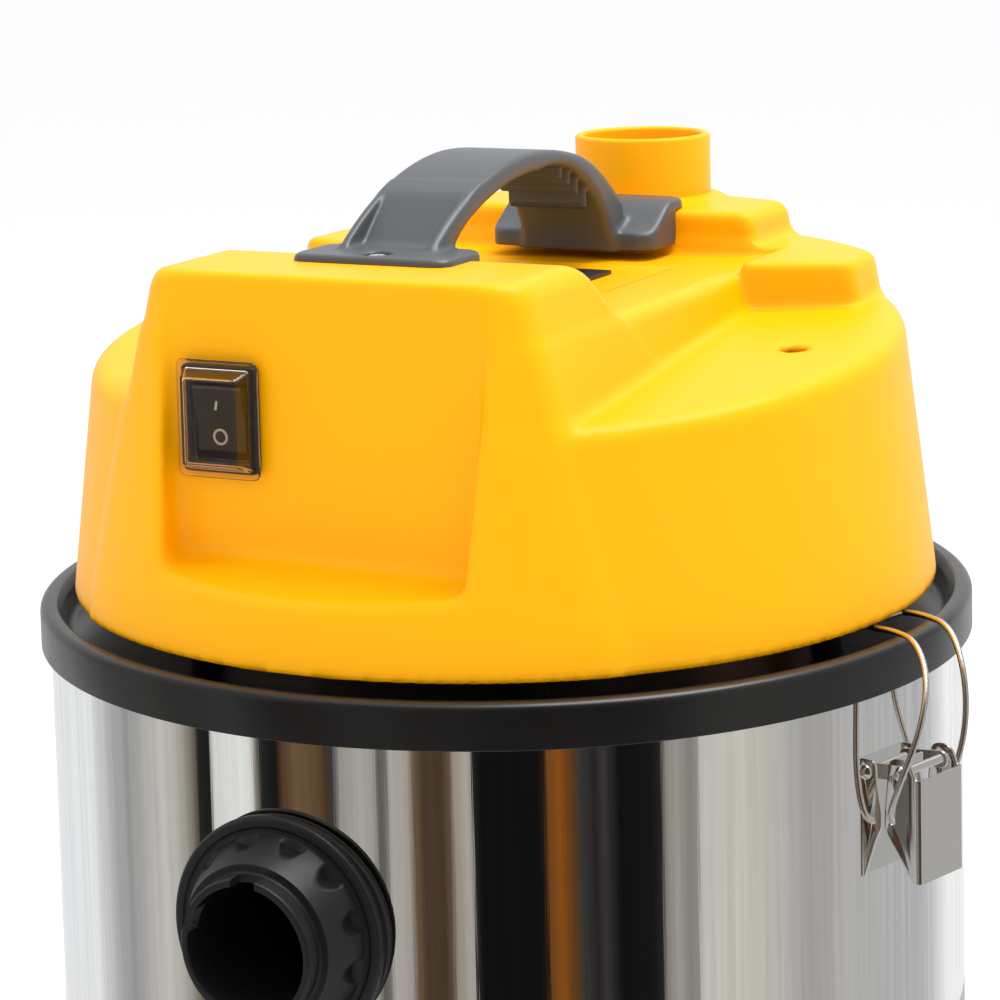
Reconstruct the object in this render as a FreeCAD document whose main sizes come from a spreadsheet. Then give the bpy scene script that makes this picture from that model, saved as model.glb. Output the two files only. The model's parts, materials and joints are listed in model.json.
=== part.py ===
import FreeCAD, Part
import os
import re
from math import cos, pi, sin, sqrt
import Sketcher
from FreeCAD import Placement, Rotation, Vector

# Wet and dry shop vacuum: steel drum on a four caster carriage, with a motor head held by two
# butterfly clips. Origin on the drum axis at floor level, +Z up, front (inlet) towards -Y.
# Lengths in millimetres, angles in degrees. Heights called "low" and "top" are above the seam,
# which is the underside of the head's rim.

sizes = [
    # whole machine
    ("seamHeight", 420), ("drumRadius", 170.5), ("drumWall", 1), ("drumFloor", 80), ("drumRise", 7.4),
    # head plate
    ("rimRadius", 174), ("rimHeight", 15.5), ("rimWall", 0.8), ("lipRadius", 168), ("dishRadius", 163.5),
    ("dishTop", 5), ("plateThick", 3), ("hubRadius", 62), ("spigotDepth", 9), ("channelTop", 9),
    # yellow cover
    ("coverLow", 19), ("coverRadius", 161), ("coverDraft", 0.1175), ("coverWall", 3),
    ("frontTop", 147), ("frontHalf", 70), ("frontFoot", 85), ("frontBack", -78), ("frontSlopeEnd", -60),
    ("shoulderLow", 100), ("shoulderStart", -124), ("shoulderSlope", 0.0825),
    ("saddleTop", 128), ("saddleHalf", 77), ("saddleFoot", 86),
    ("stepTop", 132), ("stepHalf", 117), ("stepFoot", 123), ("stepFront", 56),
    ("rearTop", 145), ("rearHalf", 66), ("rearFoot", 72), ("rearFront", 86),
    ("panelHalf", 61), ("panelFace", 132.5), ("panelLow", 50), ("shelfLow", 38),
    ("ridgeRoot", 4), ("coverReach", 175), ("portCentre", 134), ("portRadius", 27.5), ("portBore", 24), ("portTop", 170), ("portBoss", 34),
    ("postCount", 6), ("postCircle", 128), ("postRadius", 6),
    ("recessHalf", 48), ("recessFront", -12), ("recessBack", 50), ("recessDeep", 1.5),
    ("grilleHalf", 29), ("grilleFront", -8), ("grilleBack", 38),
    ("glandAngle", 30), ("glandReach", 160), ("glandHeight", 48), ("glandRadius", 7.9), ("cordRadius", 3.6),
    ("ventWide", 44), ("slotWide", 3), ("dimpleRadius", 5), ("dimpleSide", 119), ("dimplePlace", -4),
    # switch
    ("switchSide", -40), ("switchHeight", 98), ("bezelWide", 29), ("bezelTall", 37), ("bezelDeep", 3),
    ("rockerWide", 19), ("rockerTall", 26), ("rockerPivot", 0.5), ("rockerPin", 1.2), ("capWide", 32), ("capTall", 41), ("capDeep", 6),
    # handle
    ("handleHalf", 19.5), ("handleFootHalf", 31), ("handleFootFront", -101.5), ("handleFootBack", -71),
    ("handleFootTop", 151), ("handleRearHalf", 35),
    # inlet
    ("inletHeight", 355), ("flangeRadius", 39.5), ("flangeFace", 176), ("collarRadius", 33),
    ("collarFace", 189), ("mouthRadius", 24.5), ("inletBore", 21.75), ("inletReach", 196),
    ("inletTail", 150), ("seatStart", 125), ("seatReach", 60), ("scallopCount", 12), ("scallopRadius", 6),
    ("scallopShare", 0.55), ("nutRadius", 34), ("hoodRadius", 28), ("hoodEnd", 132),
    # motor
    ("fanRadius", 70), ("fanTop", 44), ("fanInlet", 24), ("shaftRadius", 4), ("boreRadius", 4.05),
    ("frameRadius", 45), ("frameTop", 100), ("statorLow", 54), ("statorTop", 86), ("armatureRadius", 26.2),
    ("windingRadius", 20), ("turbineRadius", 62), ("coolingRadius", 38), ("vaneThick", 1.2), ("vaneCount", 8),
    ("cowlRadius", 57), ("cowlTop", 119),
    # float and filter
    ("cageRadius", 30), ("cageDepth", 75), ("cageFlange", 68), ("airHole", 20), ("floatRadius", 24),
    ("filterDepth", 150), ("filterRingRadius", 158), ("filterTop", 140), ("filterFoot", 72), ("clothThick", 2.5),
    # clips
    ("clipAngle", 73.3), ("clipHalf", 12.5), ("sheetThick", 1), ("wireRadius", 1.1),
    ("clipPivotOut", 191.5), ("clipPivotLow", -21), ("bailHoleOut", 188), ("bailHoleLow", -38.3),
    ("plateOut", 173.5), ("leverOut", 199.5), ("pinRadius", 1.5),
    # carriage
    ("skirtRadius", 178), ("skirtTop", 118), ("casterX", 148), ("casterY", 152), ("lugRadius", 30),
    ("lugLow", 62), ("wheelRadius", 25), ("wheelWide", 20), ("casterTrail", 20), ("axleRadius", 3),
    ("forkInside", 10.8), ("forkThick", 2.5), ("stemRadius", 5),
]

doc = FreeCAD.newDocument("ShopVacuum")
sheet = doc.addObject("Spreadsheet::Sheet", "Sizes")
for row, (alias, number) in enumerate(sizes, start=1):
    sheet.set("A%d" % row, str(number))
    sheet.setAlias("A%d" % row, alias)
doc.recompute()
size = dict(sizes)
seam = size["seamHeight"]


def linked(text):
    """Point each alias in an expression at the sheet."""
    return re.sub(r"[A-Za-z]+", lambda word: "Sizes." + word.group(0) if word.group(0) in size
                  else word.group(0), str(text))


def value(text):
    return float(sheet.evalExpression(linked(text)))


def bind(thing, prop, text):
    thing.setExpression(prop, linked(text))


def above(text):
    """A height given above the seam, as a height above the floor."""
    return "seamHeight + (%s)" % text


turns = {"x": Rotation(Vector(0, 1, 0), 90), "y": Rotation(Vector(1, 0, 0), -90),
         "z": Rotation(), "-y": Rotation(Vector(1, 0, 0), 90)}


def place(solid, x, y, z, axis="z"):
    solid.Placement = Placement(Vector(value(x), value(y), value(z)), turns[axis])
    for letter, text in (("x", x), ("y", y), ("z", z)):
        bind(solid, ".Placement.Base." + letter, text)
    return solid


def cylinder(name, radius, height, x=0, y=0, z=0, axis="z"):
    solid = doc.addObject("Part::Cylinder", name)
    bind(solid, "Radius", radius)
    bind(solid, "Height", height)
    return place(solid, x, y, z, axis)


def cone(name, low, high, height, x=0, y=0, z=0, axis="z"):
    solid = doc.addObject("Part::Cone", name)
    bind(solid, "Radius1", low)
    bind(solid, "Radius2", high)
    bind(solid, "Height", height)
    return place(solid, x, y, z, axis)


def box(name, wide, deep, tall, x=0, y=0, z=0):
    """A box centred on x and y, standing on z."""
    solid = doc.addObject("Part::Box", name)
    bind(solid, "Length", wide)
    bind(solid, "Width", deep)
    bind(solid, "Height", tall)
    return place(solid, "%s - (%s) / 2" % (x, wide), "%s - (%s) / 2" % (y, deep), z)


def fuse(name, solids):
    whole = doc.addObject("Part::MultiFuse", name)
    whole.Shapes = solids
    return whole


def common(name, solids):
    whole = doc.addObject("Part::MultiCommon", name)
    whole.Shapes = solids
    return whole


def cut(name, base, tools):
    whole = doc.addObject("Part::Cut", name)
    whole.Base = base
    whole.Tool = tools[0] if len(tools) == 1 else fuse(name + "Tools", tools)
    return whole


def group(name, solids):
    whole = doc.addObject("Part::Compound", name)
    whole.Links = solids
    return whole


def outline(body, name, plane, corners):
    """A closed outline; a corner with a radius starts an arc that bulges to the left (+) or right (-)."""
    sketch = body.newObject("Sketcher::SketchObject", name)
    base = [face for face in body.Origin.OriginFeatures if face.Role == plane][0]
    sketch.AttachmentSupport = (base, [""])
    sketch.MapMode = "FlatFace"
    points = [Vector(value(corner[0]), value(corner[1]), 0) for corner in corners]
    ends = []
    for index, corner in enumerate(corners):
        start, end = points[index], points[(index + 1) % len(points)]
        if len(corner) == 4:
            chord = end - start
            radius, side = value(corner[2]), corner[3]
            rise = radius - sqrt(radius ** 2 - chord.Length ** 2 / 4)
            left = Vector(-chord.y, chord.x, 0).normalize()
            middle = (start + end) * 0.5 + left * rise * side
            sketch.addGeometry(Part.Arc(start, middle, end), False)
            ends.append((2, 1) if side > 0 else (1, 2))
        else:
            sketch.addGeometry(Part.LineSegment(start, end), False)
            ends.append((1, 2))
    for index in range(len(corners)):
        following = (index + 1) % len(corners)
        sketch.addConstraint(Sketcher.Constraint("Coincident", index, ends[index][1],
                                                 following, ends[following][0]))
    for index, corner in enumerate(corners):
        for kind, text, line in (("DistanceX", corner[0], -2), ("DistanceY", corner[1], -1)):
            if abs(value(text)) < 1e-9:
                sketch.addConstraint(Sketcher.Constraint("PointOnObject", index, ends[index][0], line))
                continue
            number = sketch.addConstraint(Sketcher.Constraint(kind, -1, 1, index, ends[index][0],
                                                              value(text)))
            bind(sketch, "Constraints[%d]" % number, text)
        if len(corner) == 4:
            number = sketch.addConstraint(Sketcher.Constraint("Radius", index, value(corner[2])))
            bind(sketch, "Constraints[%d]" % number, corner[2])
    return sketch


def turned(name, corners, x=0, y=0, z=0, axis="z"):
    """A body turned about its own Z axis from an outline of (radius, height) corners."""
    body = doc.addObject("PartDesign::Body", name)
    sketch = outline(body, name + "Outline", "XZ_Plane", corners)
    turning = body.newObject("PartDesign::Revolution", name + "Turn")
    turning.Profile = sketch
    turning.ReferenceAxis = (sketch, ["V_Axis"])
    turning.Angle = 360
    return place(body, x, y, z, axis)


def padded(name, plane, corners, thick, x=0, y=0, z=0, axis="z"):
    """A body padded both ways from an outline on one of its origin planes."""
    body = doc.addObject("PartDesign::Body", name)
    sketch = outline(body, name + "Outline", plane, corners)
    pad = body.newObject("PartDesign::Pad", name + "Pad")
    pad.Profile = sketch
    pad.SideType = "Symmetric"
    bind(pad, "Length", thick)
    return place(body, x, y, z, axis)


def moved(solid, spot):
    """Stands a solid in a turned place of its own."""
    for axis in "xyz":
        solid.setExpression(".Placement.Base." + axis, None)
    solid.Placement = spot
    return solid


parts = []


def keep(solid, label):
    solid.Label = label
    parts.append(solid)
    return solid


def ring(name, outer, inner, low, high, x=0, y=0, z=0, axis="z"):
    return turned(name, [(outer, low), (outer, high), (inner, high), (inner, low)], x, y, z, axis)


def wire(label, points, radius, bend):
    """A bent round wire along points, with an arc of one radius at every inner point."""
    edges = []
    last = points[0]
    for before, corner, after in zip(points, points[1:], points[2:]):
        back = (before - corner).normalize()
        ahead = (after - corner).normalize()
        half = back.getAngle(ahead) / 2
        reach = bend / abs(sin(half) / cos(half))
        start, end = corner + back * reach, corner + ahead * reach
        inward = (back + ahead).normalize()
        middle = corner + inward * (bend / sin(half) - bend)
        edges.append(Part.LineSegment(last, start).toShape())
        edges.append(Part.Arc(start, middle, end).toShape())
        last = end
    edges.append(Part.LineSegment(last, points[-1]).toShape())
    path = Part.Wire(edges)
    section = Part.Wire(Part.Circle(points[0], points[1] - points[0], radius).toShape())
    solid = doc.addObject("Part::Feature", label)
    solid.Shape = path.makePipeShell([section], True, True)
    return keep(solid, label)


# Drum ------------------------------------------------------------------------------------------

def drum():
    shell = turned("DrumShell", [
        (0, "drumFloor"), ("drumRadius - 8", "drumFloor", 8, -1), ("drumRadius", "drumFloor + 8"),
        ("drumRadius", above("drumRise")), ("drumRadius - drumWall", above("drumRise")),
        ("drumRadius - drumWall", "drumFloor + 8"), ("drumRadius - 8", "drumFloor + drumWall"),
        (0, "drumFloor + drumWall")])
    hole = cylinder("DrumHole", "mouthRadius + 0.5", 60, 0, -140, "inletHeight", "-y")
    keep(cut("Drum", shell, [hole]), "drum")


def inlet():
    body = turned("InletTurned", [
        ("inletBore", "inletTail"), ("mouthRadius", "inletTail"), ("mouthRadius", 160),
        ("flangeRadius", 160), ("flangeRadius", "flangeFace - 1.5"), ("flangeRadius - 1.5", "flangeFace"),
        ("collarRadius", "flangeFace"), ("mouthRadius + 3", "collarFace"), ("mouthRadius", "collarFace"),
        ("mouthRadius", "inletReach"), ("inletBore", "inletReach")], 0, 0, "inletHeight", "-y")
    back = cylinder("InletSeat", "drumRadius + 2", 120, 0, 0, "inletHeight - 60")
    tail = cylinder("InletTail", "mouthRadius", "seatReach", 0, "-seatStart", "inletHeight", "-y")
    zone = cylinder("InletSeatReach", "flangeRadius + 5", "seatReach", 0, "-seatStart", "inletHeight", "-y")
    seat = cut("InletSeatCut", common("InletSeatZone", [back, zone]), [tail])
    scallops = []
    for number in range(int(size["scallopCount"])):
        turn = 2 * pi * (number + 0.5) / size["scallopCount"]
        reach = size["collarRadius"] + size["scallopRadius"] * size["scallopShare"]
        scallops.append(cylinder("Scallop%d" % number, "scallopRadius", "inletReach - flangeFace - 0.5",
                                 reach * sin(turn), "-flangeFace - 0.5",
                                 "inletHeight + %.4f" % (reach * cos(turn)), "-y"))
    notch = box("InletNotch", 9, 12, "mouthRadius - 1", 0, "-inletReach", "inletHeight")
    keep(cut("InletSocket", body, [seat] + scallops + [notch]), "inlet_socket")
    washer = ring("GasketTurned", "flangeRadius - 1", "mouthRadius", 160, "flangeFace - 3",
                  0, 0, "inletHeight", "-y")
    outside = cylinder("GasketOuter", "drumRadius + 2", 120, 0, 0, "inletHeight - 60")
    inside = cylinder("GasketInner", "drumRadius", 120, 0, 0, "inletHeight - 60")
    keep(cut("InletGasket", common("GasketBand", [washer, outside]), [inside]), "inlet_gasket")
    keep(ring("InletNut", "nutRadius", "mouthRadius", 157, 164, 0, 0, "inletHeight", "-y"), "inlet_nut")
    hood = turned("HoodTurned", [
        (0, "hoodEnd"), ("hoodRadius", "hoodEnd"), ("hoodRadius", "inletTail + 6"),
        ("mouthRadius", "inletTail + 6"), ("mouthRadius", "hoodEnd + 2.5"), (0, "hoodEnd + 2.5")],
        0, 0, "inletHeight", "-y")
    mouth = box("HoodMouth", 44, 15, 40, 0, -142, "inletHeight - 50")
    keep(cut("InletDeflector", hood, [mouth]), "inlet_deflector")


# Head ------------------------------------------------------------------------------------------

def headPlate():
    plate = turned("PlateTurned", [
        ("rimRadius", above(0)), ("rimRadius", above("rimHeight - 3"), 3, -1),
        ("rimRadius - 3", above("rimHeight")), ("lipRadius", above("rimHeight")),
        ("lipRadius - 2.5", above("rimHeight - 3")), ("dishRadius", above("dishTop")),
        ("hubRadius", above("dishTop")), ("hubRadius", above("dishTop - plateThick")),
        ("dishRadius - 3", above("dishTop - plateThick")), ("dishRadius - 3", above("-spigotDepth")),
        ("dishRadius", above("-spigotDepth")), ("dishRadius + 3", above("channelTop")),
        ("rimRadius - rimWall", above("channelTop")), ("rimRadius - rimWall", above(0))])
    posts = []
    for number in range(int(size["postCount"])):
        turn = 2 * pi * (number + 0.5) / size["postCount"]
        posts.append(cylinder("Post%d" % number, "postRadius", "30", "postCircle * %.6f" % sin(turn),
                              "postCircle * %.6f" % cos(turn), above("dishTop - 1")))
    keep(fuse("HeadPlate", [plate] + posts), "head_plate")
    keep(ring("HeadGasket", 172, 167.5, above("drumRise"), above("channelTop")), "head_gasket")
    screws = []
    for number in range(int(size["postCount"])):
        turn = 2 * pi * (number + 0.5) / size["postCount"]
        screws.append(cylinder("CoverScrew%d" % number, 4.5, 3, "postCircle * %.6f" % sin(turn),
                               "postCircle * %.6f" % cos(turn), above("dishTop - plateThick - 3")))
    keep(group("CoverScrews", screws), "cover_screws")


def coverBlocks(tag, inset):
    """The cover's outer form, or its hollow when inset is the wall thickness."""
    low, top = above("coverLow"), above("frontTop + 2")
    edge = "(coverRadius - %s)" % inset
    skin = turned(tag + "Skirt", [(0, low), (edge, low), (edge + " - coverDraft * (frontTop + 2 - coverLow)", top),
                                  (0, top)])
    slant = "shoulderLow - %s + shoulderSlope * (%s - shoulderStart)"
    shoulder = padded(tag + "Shoulder", "YZ_Plane", [
        ("-coverReach", low), ("coverReach", low), ("coverReach", above(slant % (inset, "coverReach"))),
        ("-coverReach", above(slant % (inset, "-coverReach")))], "2 * coverReach")

    def ridge(name, half, foot, top, back, front):
        """A block with sloping sides that runs along Y between two places."""
        long = "(%s) - (%s)" % (back, front)
        wide, narrow = "(%s - %s)" % (foot, inset), "(%s - %s)" % (half, inset)
        root, crest = above("shoulderLow - ridgeRoot"), above("%s - %s" % (top, inset))
        return padded(tag + name, "XZ_Plane", [
            ("-" + wide, low), (wide, low), (wide, root), (narrow, crest), ("-" + narrow, crest),
            ("-" + wide, root)], long, 0, "((%s) + (%s)) / 2" % (back, front), 0)

    front = ridge("Front", "frontHalf", "frontFoot", "frontTop", "frontBack - %s" % inset, "-coverReach")
    slope = padded(tag + "FrontSlope", "YZ_Plane", [
        ("frontBack - %s - 1" % inset, low), ("frontSlopeEnd", low),
        ("frontSlopeEnd", above("saddleTop - %s" % inset)),
        ("frontBack - %s" % inset, above("frontTop - %s" % inset)),
        ("frontBack - %s - 1" % inset, above("frontTop - %s" % inset))], "2 * (frontHalf - %s)" % inset)
    saddle = ridge("Saddle", "saddleHalf", "saddleFoot", "saddleTop", "rearFront + 10", "frontBack")
    step = ridge("Step", "stepHalf", "stepFoot", "stepTop", "coverReach", "stepFront + %s" % inset)
    rear = ridge("Rear", "rearHalf", "rearFoot", "rearTop", "coverReach", "rearFront + %s" % inset)
    form = common(tag + "Form", [skin, fuse(tag + "Blocks", [shoulder, front, slope, saddle, step, rear])])
    boss = cylinder(tag + "Boss", "portBoss - %s" % inset, "rearTop - %s - coverLow" % inset,
                    0, "portCentre", low)
    panel = padded(tag + "Panel", "YZ_Plane", [
        (-180, above("shelfLow - %s" % inset)), ("%s - panelFace" % inset, above("panelLow - %s" % inset)),
        ("%s - panelFace" % inset, above("frontTop + 10")), (-180, above("frontTop + 10"))],
        "2 * (panelHalf + %s)" % inset)
    return cut(tag + "Whole", fuse(tag + "Bossed", [form, boss]), [panel])


def glandSpot(reach):
    """The mains inlet's own frame, square to the skirt at the back right."""
    turn = Rotation(Vector(0, 0, 1), -size["glandAngle"]).multiply(turns["y"])
    out = turn.multVec(Vector(0, 0, size["glandReach"] + reach))
    return Placement(out + Vector(0, 0, seam + size["glandHeight"]), turn)


def headCover():
    outer = coverBlocks("Outer", "0")
    hollow = coverBlocks("Hollow", "coverWall")
    port = cylinder("PortTube", "portRadius", "portTop - rearTop + 20", 0, "portCentre", above("rearTop - 20"))
    bore = cylinder("PortHole", "portBore", "portTop - rearTop + 42", 0, "portCentre", above("rearTop - 40"))
    shell = cut("CoverShell", outer, [hollow])
    recess = box("SaddleRecess", "2 * recessHalf", "recessBack - recessFront", 10, 0,
                 "(recessBack + recessFront) / 2", above("saddleTop - recessDeep"))
    switchHole = box("SwitchHole", "bezelWide - 3", 40, "bezelTall - 3", "switchSide", "-panelFace",
                     above("switchHeight - (bezelTall - 3) / 2"))
    vents = [box("VentSlot%d" % slot, "ventWide", "slotWide", 10, 0, "grilleFront + %d" % (7 + 8 * slot), above("saddleTop - 6"))
             for slot in range(5)]
    dimples = [cylinder("Dimple%d" % side, "dimpleRadius", 20, "dimpleSide * %d" % side, "dimplePlace",
                        above("shoulderLow + 5")) for side in (-1, 1)]
    glandHole = moved(cylinder("GlandHole", "glandRadius + 0.1", 40), glandSpot(-20))
    keep(cut("HeadCover", fuse("CoverPort", [shell, port]),
             [bore, recess, switchHole, glandHole] + vents + dimples), "head_cover")


def coverFittings():
    grille = box("GrilleFrame", "2 * grilleHalf", "grilleBack - grilleFront", 1.6, 0, "(grilleBack + grilleFront) / 2",
                above("saddleTop - recessDeep"))
    slots = [box("GrilleSlot%d" % slot, "ventWide - 4", "slotWide", 6, 0, "grilleFront + %d" % (5 + 6 * slot),
                 above("saddleTop - 4"))
             for slot in range(7)]
    keep(cut("VentGrille", grille, slots), "vent_grille")
    gland = turned("GlandTurned", [
        ("cordRadius", -6), ("glandRadius", -6), ("glandRadius", 4), ("glandRadius + 3", 4),
        ("glandRadius + 3", 8), (7, 10), (5.5, 30), ("cordRadius", 30)])
    keep(moved(gland, glandSpot(-4)), "cable_gland")


def switch():
    depth = "-panelFace"
    bezel = box("Bezel", "bezelWide", "bezelDeep", "bezelTall", "switchSide", depth + " - bezelDeep / 2",
                above("switchHeight - bezelTall / 2"))
    case = box("SwitchCase", "bezelWide - 3.4", 26, "bezelTall - 3.4", "switchSide", depth + " + 12.9",
               above("switchHeight - (bezelTall - 3.4) / 2"))
    well = box("RockerWell", "rockerWide + 1", 17, "rockerTall + 2", "switchSide", depth + " + 5",
               above("switchHeight - (rockerTall + 2) / 2"))
    blades = [box("Terminal%d" % number, 6.3, 10, 0.8, "switchSide", depth + " + 30",
                  above("switchHeight - 9 + %d" % (18 * number))) for number in (0, 1)]
    pivot = ("switchSide", depth + " + rockerPivot", above("switchHeight"))
    pinHole = cylinder("RockerPinHole", "rockerPin + 0.05", "rockerWide + 5", "switchSide - (rockerWide + 5) / 2",
                       pivot[1], pivot[2], "x")
    keep(cut("SwitchBody", fuse("SwitchBlock", [bezel, case] + blades), [well, pinHole]), "switch_body")
    paddle = padded("RockerPaddle", "YZ_Plane", [
        (-6.2, "rockerTall / 2 - 0.8"), (-3.0, -0.5), (-2.4, "1 - rockerTall / 2"),
        (5, "3.6 - rockerTall / 2"), (5, "rockerTall / 2 - 3.6")], "rockerWide", *pivot)
    pins = cylinder("RockerPins", "rockerPin", "rockerWide + 4", "switchSide - (rockerWide + 4) / 2",
                    pivot[1], pivot[2], "x")
    keep(fuse("Rocker", [paddle, pins]), "switch_rocker")
    frame = box("CapFrame", "capWide", 1.4, "capTall", "switchSide", depth + " - bezelDeep - 0.7",
                above("switchHeight - capTall / 2"))
    hood = box("CapHood", "rockerWide + 5", "capDeep", "rockerTall + 6", "switchSide",
               depth + " - bezelDeep - capDeep / 2", above("switchHeight - (rockerTall + 6) / 2"))
    hollow = box("CapHollow", "rockerWide + 3.4", "capDeep - 0.8 + 2", "rockerTall + 4.4", "switchSide",
                 depth + " - bezelDeep - capDeep / 2 + 0.4 + 1", above("switchHeight - (rockerTall + 4.4) / 2"))
    keep(cut("SwitchCap", fuse("CapSolid", [frame, hood]), [hollow]), "switch_cap")


def handle():
    grip = padded("HandleGrip", "YZ_Plane", [
        (-87, above("frontTop")), (-87, above(152), 146, 1), (-10, above(177.6), 170, 1),
        (55, above(165.5)), (72, above(150)), (72, above("stepTop")), (59, above("stepTop")),
        (57.7, above(140.6), 56, -1), (0, above(170), 140, -1), (-72, above(152)),
        (-72, above("frontTop"))], "2 * handleHalf")
    pocket = padded("ScrewPocket", "YZ_Plane", [
        (-106, above(151)), (-106, above(182)), (-52, above(182)), (-52, above(172.5)),
        (-76, above(156)), (-76, above(151))], "2 * handleHalf - 7")
    plate = box("FrontFoot", "2 * handleFootHalf", "handleFootBack - handleFootFront",
                "handleFootTop - frontTop", 0, "(handleFootBack + handleFootFront) / 2", above("frontTop"))
    saddle = padded("RearFoot", "YZ_Plane", [
        (62, above("stepTop")), (62, above("rearTop - 6")), (72, above("rearTop")), (84, above("rearTop + 4.5")),
        (98, above("rearTop + 4.5")), (98, above("rearTop")),
        ("rearFront", above("rearTop")), ("rearFront", above("stepTop"))], "2 * handleRearHalf")
    hole = cylinder("HandleScrewHole", 2.6, 20, 0, -93, above("frontTop - 1"))
    grip = cut("HandleGripOpen", grip, [pocket])
    ribs = [box("GripRib%d" % number, "2 * handleHalf - 10", 2, 9, 0, 22 + 7 * number,
                above(166 - 1.6 * number - 1.0 * number * number)) for number in range(4)]
    keep(cut("CarryHandle", fuse("HandleSolid", [grip, plate, saddle] + ribs), [hole]), "carry_handle")
    screws = []
    for name, y, low in (("Front", -93, "handleFootTop"), ("Rear", 91, "rearTop + 4.5")):
        screws.append(cylinder("HandleScrew" + name, 4.2, 2, 0, y, above(low)))
    keep(group("HandleScrews", screws), "handle_screws")


# Motor -----------------------------------------------------------------------------------------

def motor():
    keep(ring("LowerSeal", "fanRadius + 2", 60, above("dishTop"), above("dishTop + 4")), "motor_lower_seal")
    keep(turned("FanHousing", [
        ("fanInlet", above(9)), ("fanRadius", above(9)), ("fanRadius", above("fanTop")),
        (38, above("fanTop")), (38, above("fanTop - 1")), ("fanRadius - 1", above("fanTop - 1")),
        ("fanRadius - 1", above(10)), ("fanInlet", above(10))]), "fan_housing")
    bearingSeat = [("boreRadius + 7", above("fanTop")), ("frameRadius", above("fanTop")),
                   ("frameRadius", above("frameTop")), ("boreRadius + 7", above("frameTop")),
                   ("boreRadius + 7", above("frameTop - 3")), ("frameRadius - 2", above("frameTop - 3")),
                   ("frameRadius - 2", above("fanTop + 3")), ("boreRadius + 7", above("fanTop + 3"))]
    frame = turned("FrameTurned", bearingSeat)
    windows = [box("FrameWindow0", 120, 30, 24, 0, 0, above(60)), box("FrameWindow1", 30, 120, 24, 0, 0, above(60))]
    keep(cut("MotorFrame", frame, windows), "motor_frame")
    keep(ring("LowerBearing", "boreRadius + 7", "boreRadius", above("fanTop"), above("fanTop + 7")),
         "lower_bearing")
    keep(ring("UpperBearing", "boreRadius + 7", "boreRadius", above("frameTop - 3"), above("frameTop + 4")),
         "upper_bearing")
    keep(ring("Stator", "frameRadius - 2.2", 27, above("statorLow"), above("statorTop")), "motor_stator")
    keep(turned("Armature", [
        (0, above(13)), ("shaftRadius", above(13)), ("shaftRadius", above("statorLow - 2")),
        ("windingRadius", above("statorLow - 2")), ("windingRadius", above("statorLow")),
        ("armatureRadius", above("statorLow")), ("armatureRadius", above("statorTop")),
        ("windingRadius", above("statorTop")), ("windingRadius", above("statorTop + 1.5")),
        ("shaftRadius", above("statorTop + 1.5")), ("shaftRadius", above("frameTop + 12")),
        (0, above("frameTop + 12"))]), "armature")
    keep(ring("Commutator", 14, "shaftRadius", above("statorTop + 2"), above("frameTop - 4")), "commutator")
    discs = [ring("TurbineLow", "turbineRadius", "fanInlet", above(16), above(17.2)),
             ring("TurbineTop", "turbineRadius", "shaftRadius", above(33), above(34.2)),
             ring("TurbineHub", 9, "shaftRadius", above(29), above(40))]
    vanes = []
    for number in range(int(size["vaneCount"])):
        turn = Rotation(Vector(0, 0, 1), 360 * number / size["vaneCount"])
        start = turn.multVec(Vector(size["fanInlet"] + 1, -size["vaneThick"] / 2, 0)) + Vector(0, 0, seam + 16.5)
        vane = box("TurbineVane%d" % number, "turbineRadius - fanInlet - 2", "vaneThick", 17)
        vanes.append(moved(vane, Placement(start, turn)))
    keep(fuse("Turbine", discs + vanes), "turbine")
    fan = fuse("CoolingFanSolid", [
        cylinder("CoolingHub", 10, 6, 0, 0, above("frameTop + 5")),
        cylinder("CoolingDisc", "coolingRadius", 1.5, 0, 0, above("frameTop + 5")),
        box("CoolingVane0", "2 * coolingRadius - 2", "vaneThick", 5, 0, 0, above("frameTop + 6")),
        box("CoolingVane1", "vaneThick", "2 * coolingRadius - 2", 5, 0, 0, above("frameTop + 6"))])
    shaft = cylinder("CoolingBore", "shaftRadius", 30, 0, 0, above("frameTop"))
    keep(cut("CoolingFan", fan, [shaft]), "cooling_fan")
    brushes = [box("Brush%d" % side, 28, 7, 7, 28.5 * side, 0, above("statorTop + 3")) for side in (-1, 1)]
    keep(group("BrushHolders", brushes), "brush_holders")
    keep(turned("MotorCowl", [
        ("cowlRadius - 3", above("fanTop + 0.5")), ("cowlRadius", above("fanTop + 0.5")),
        ("cowlRadius", above("cowlTop")), (30, above("cowlTop")), (30, above("cowlTop - 3")),
        ("cowlRadius - 3", above("cowlTop - 3"))]), "motor_cowl")
    keep(ring("UpperSeal", "cowlRadius - 1", 32, above("cowlTop"), above("saddleTop - coverWall")),
         "motor_upper_seal")
    keep(ring("SilencerFoam", "fanRadius", "cowlRadius + 1", above("fanTop + 1"), above(84)), "silencer_foam")


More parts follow.
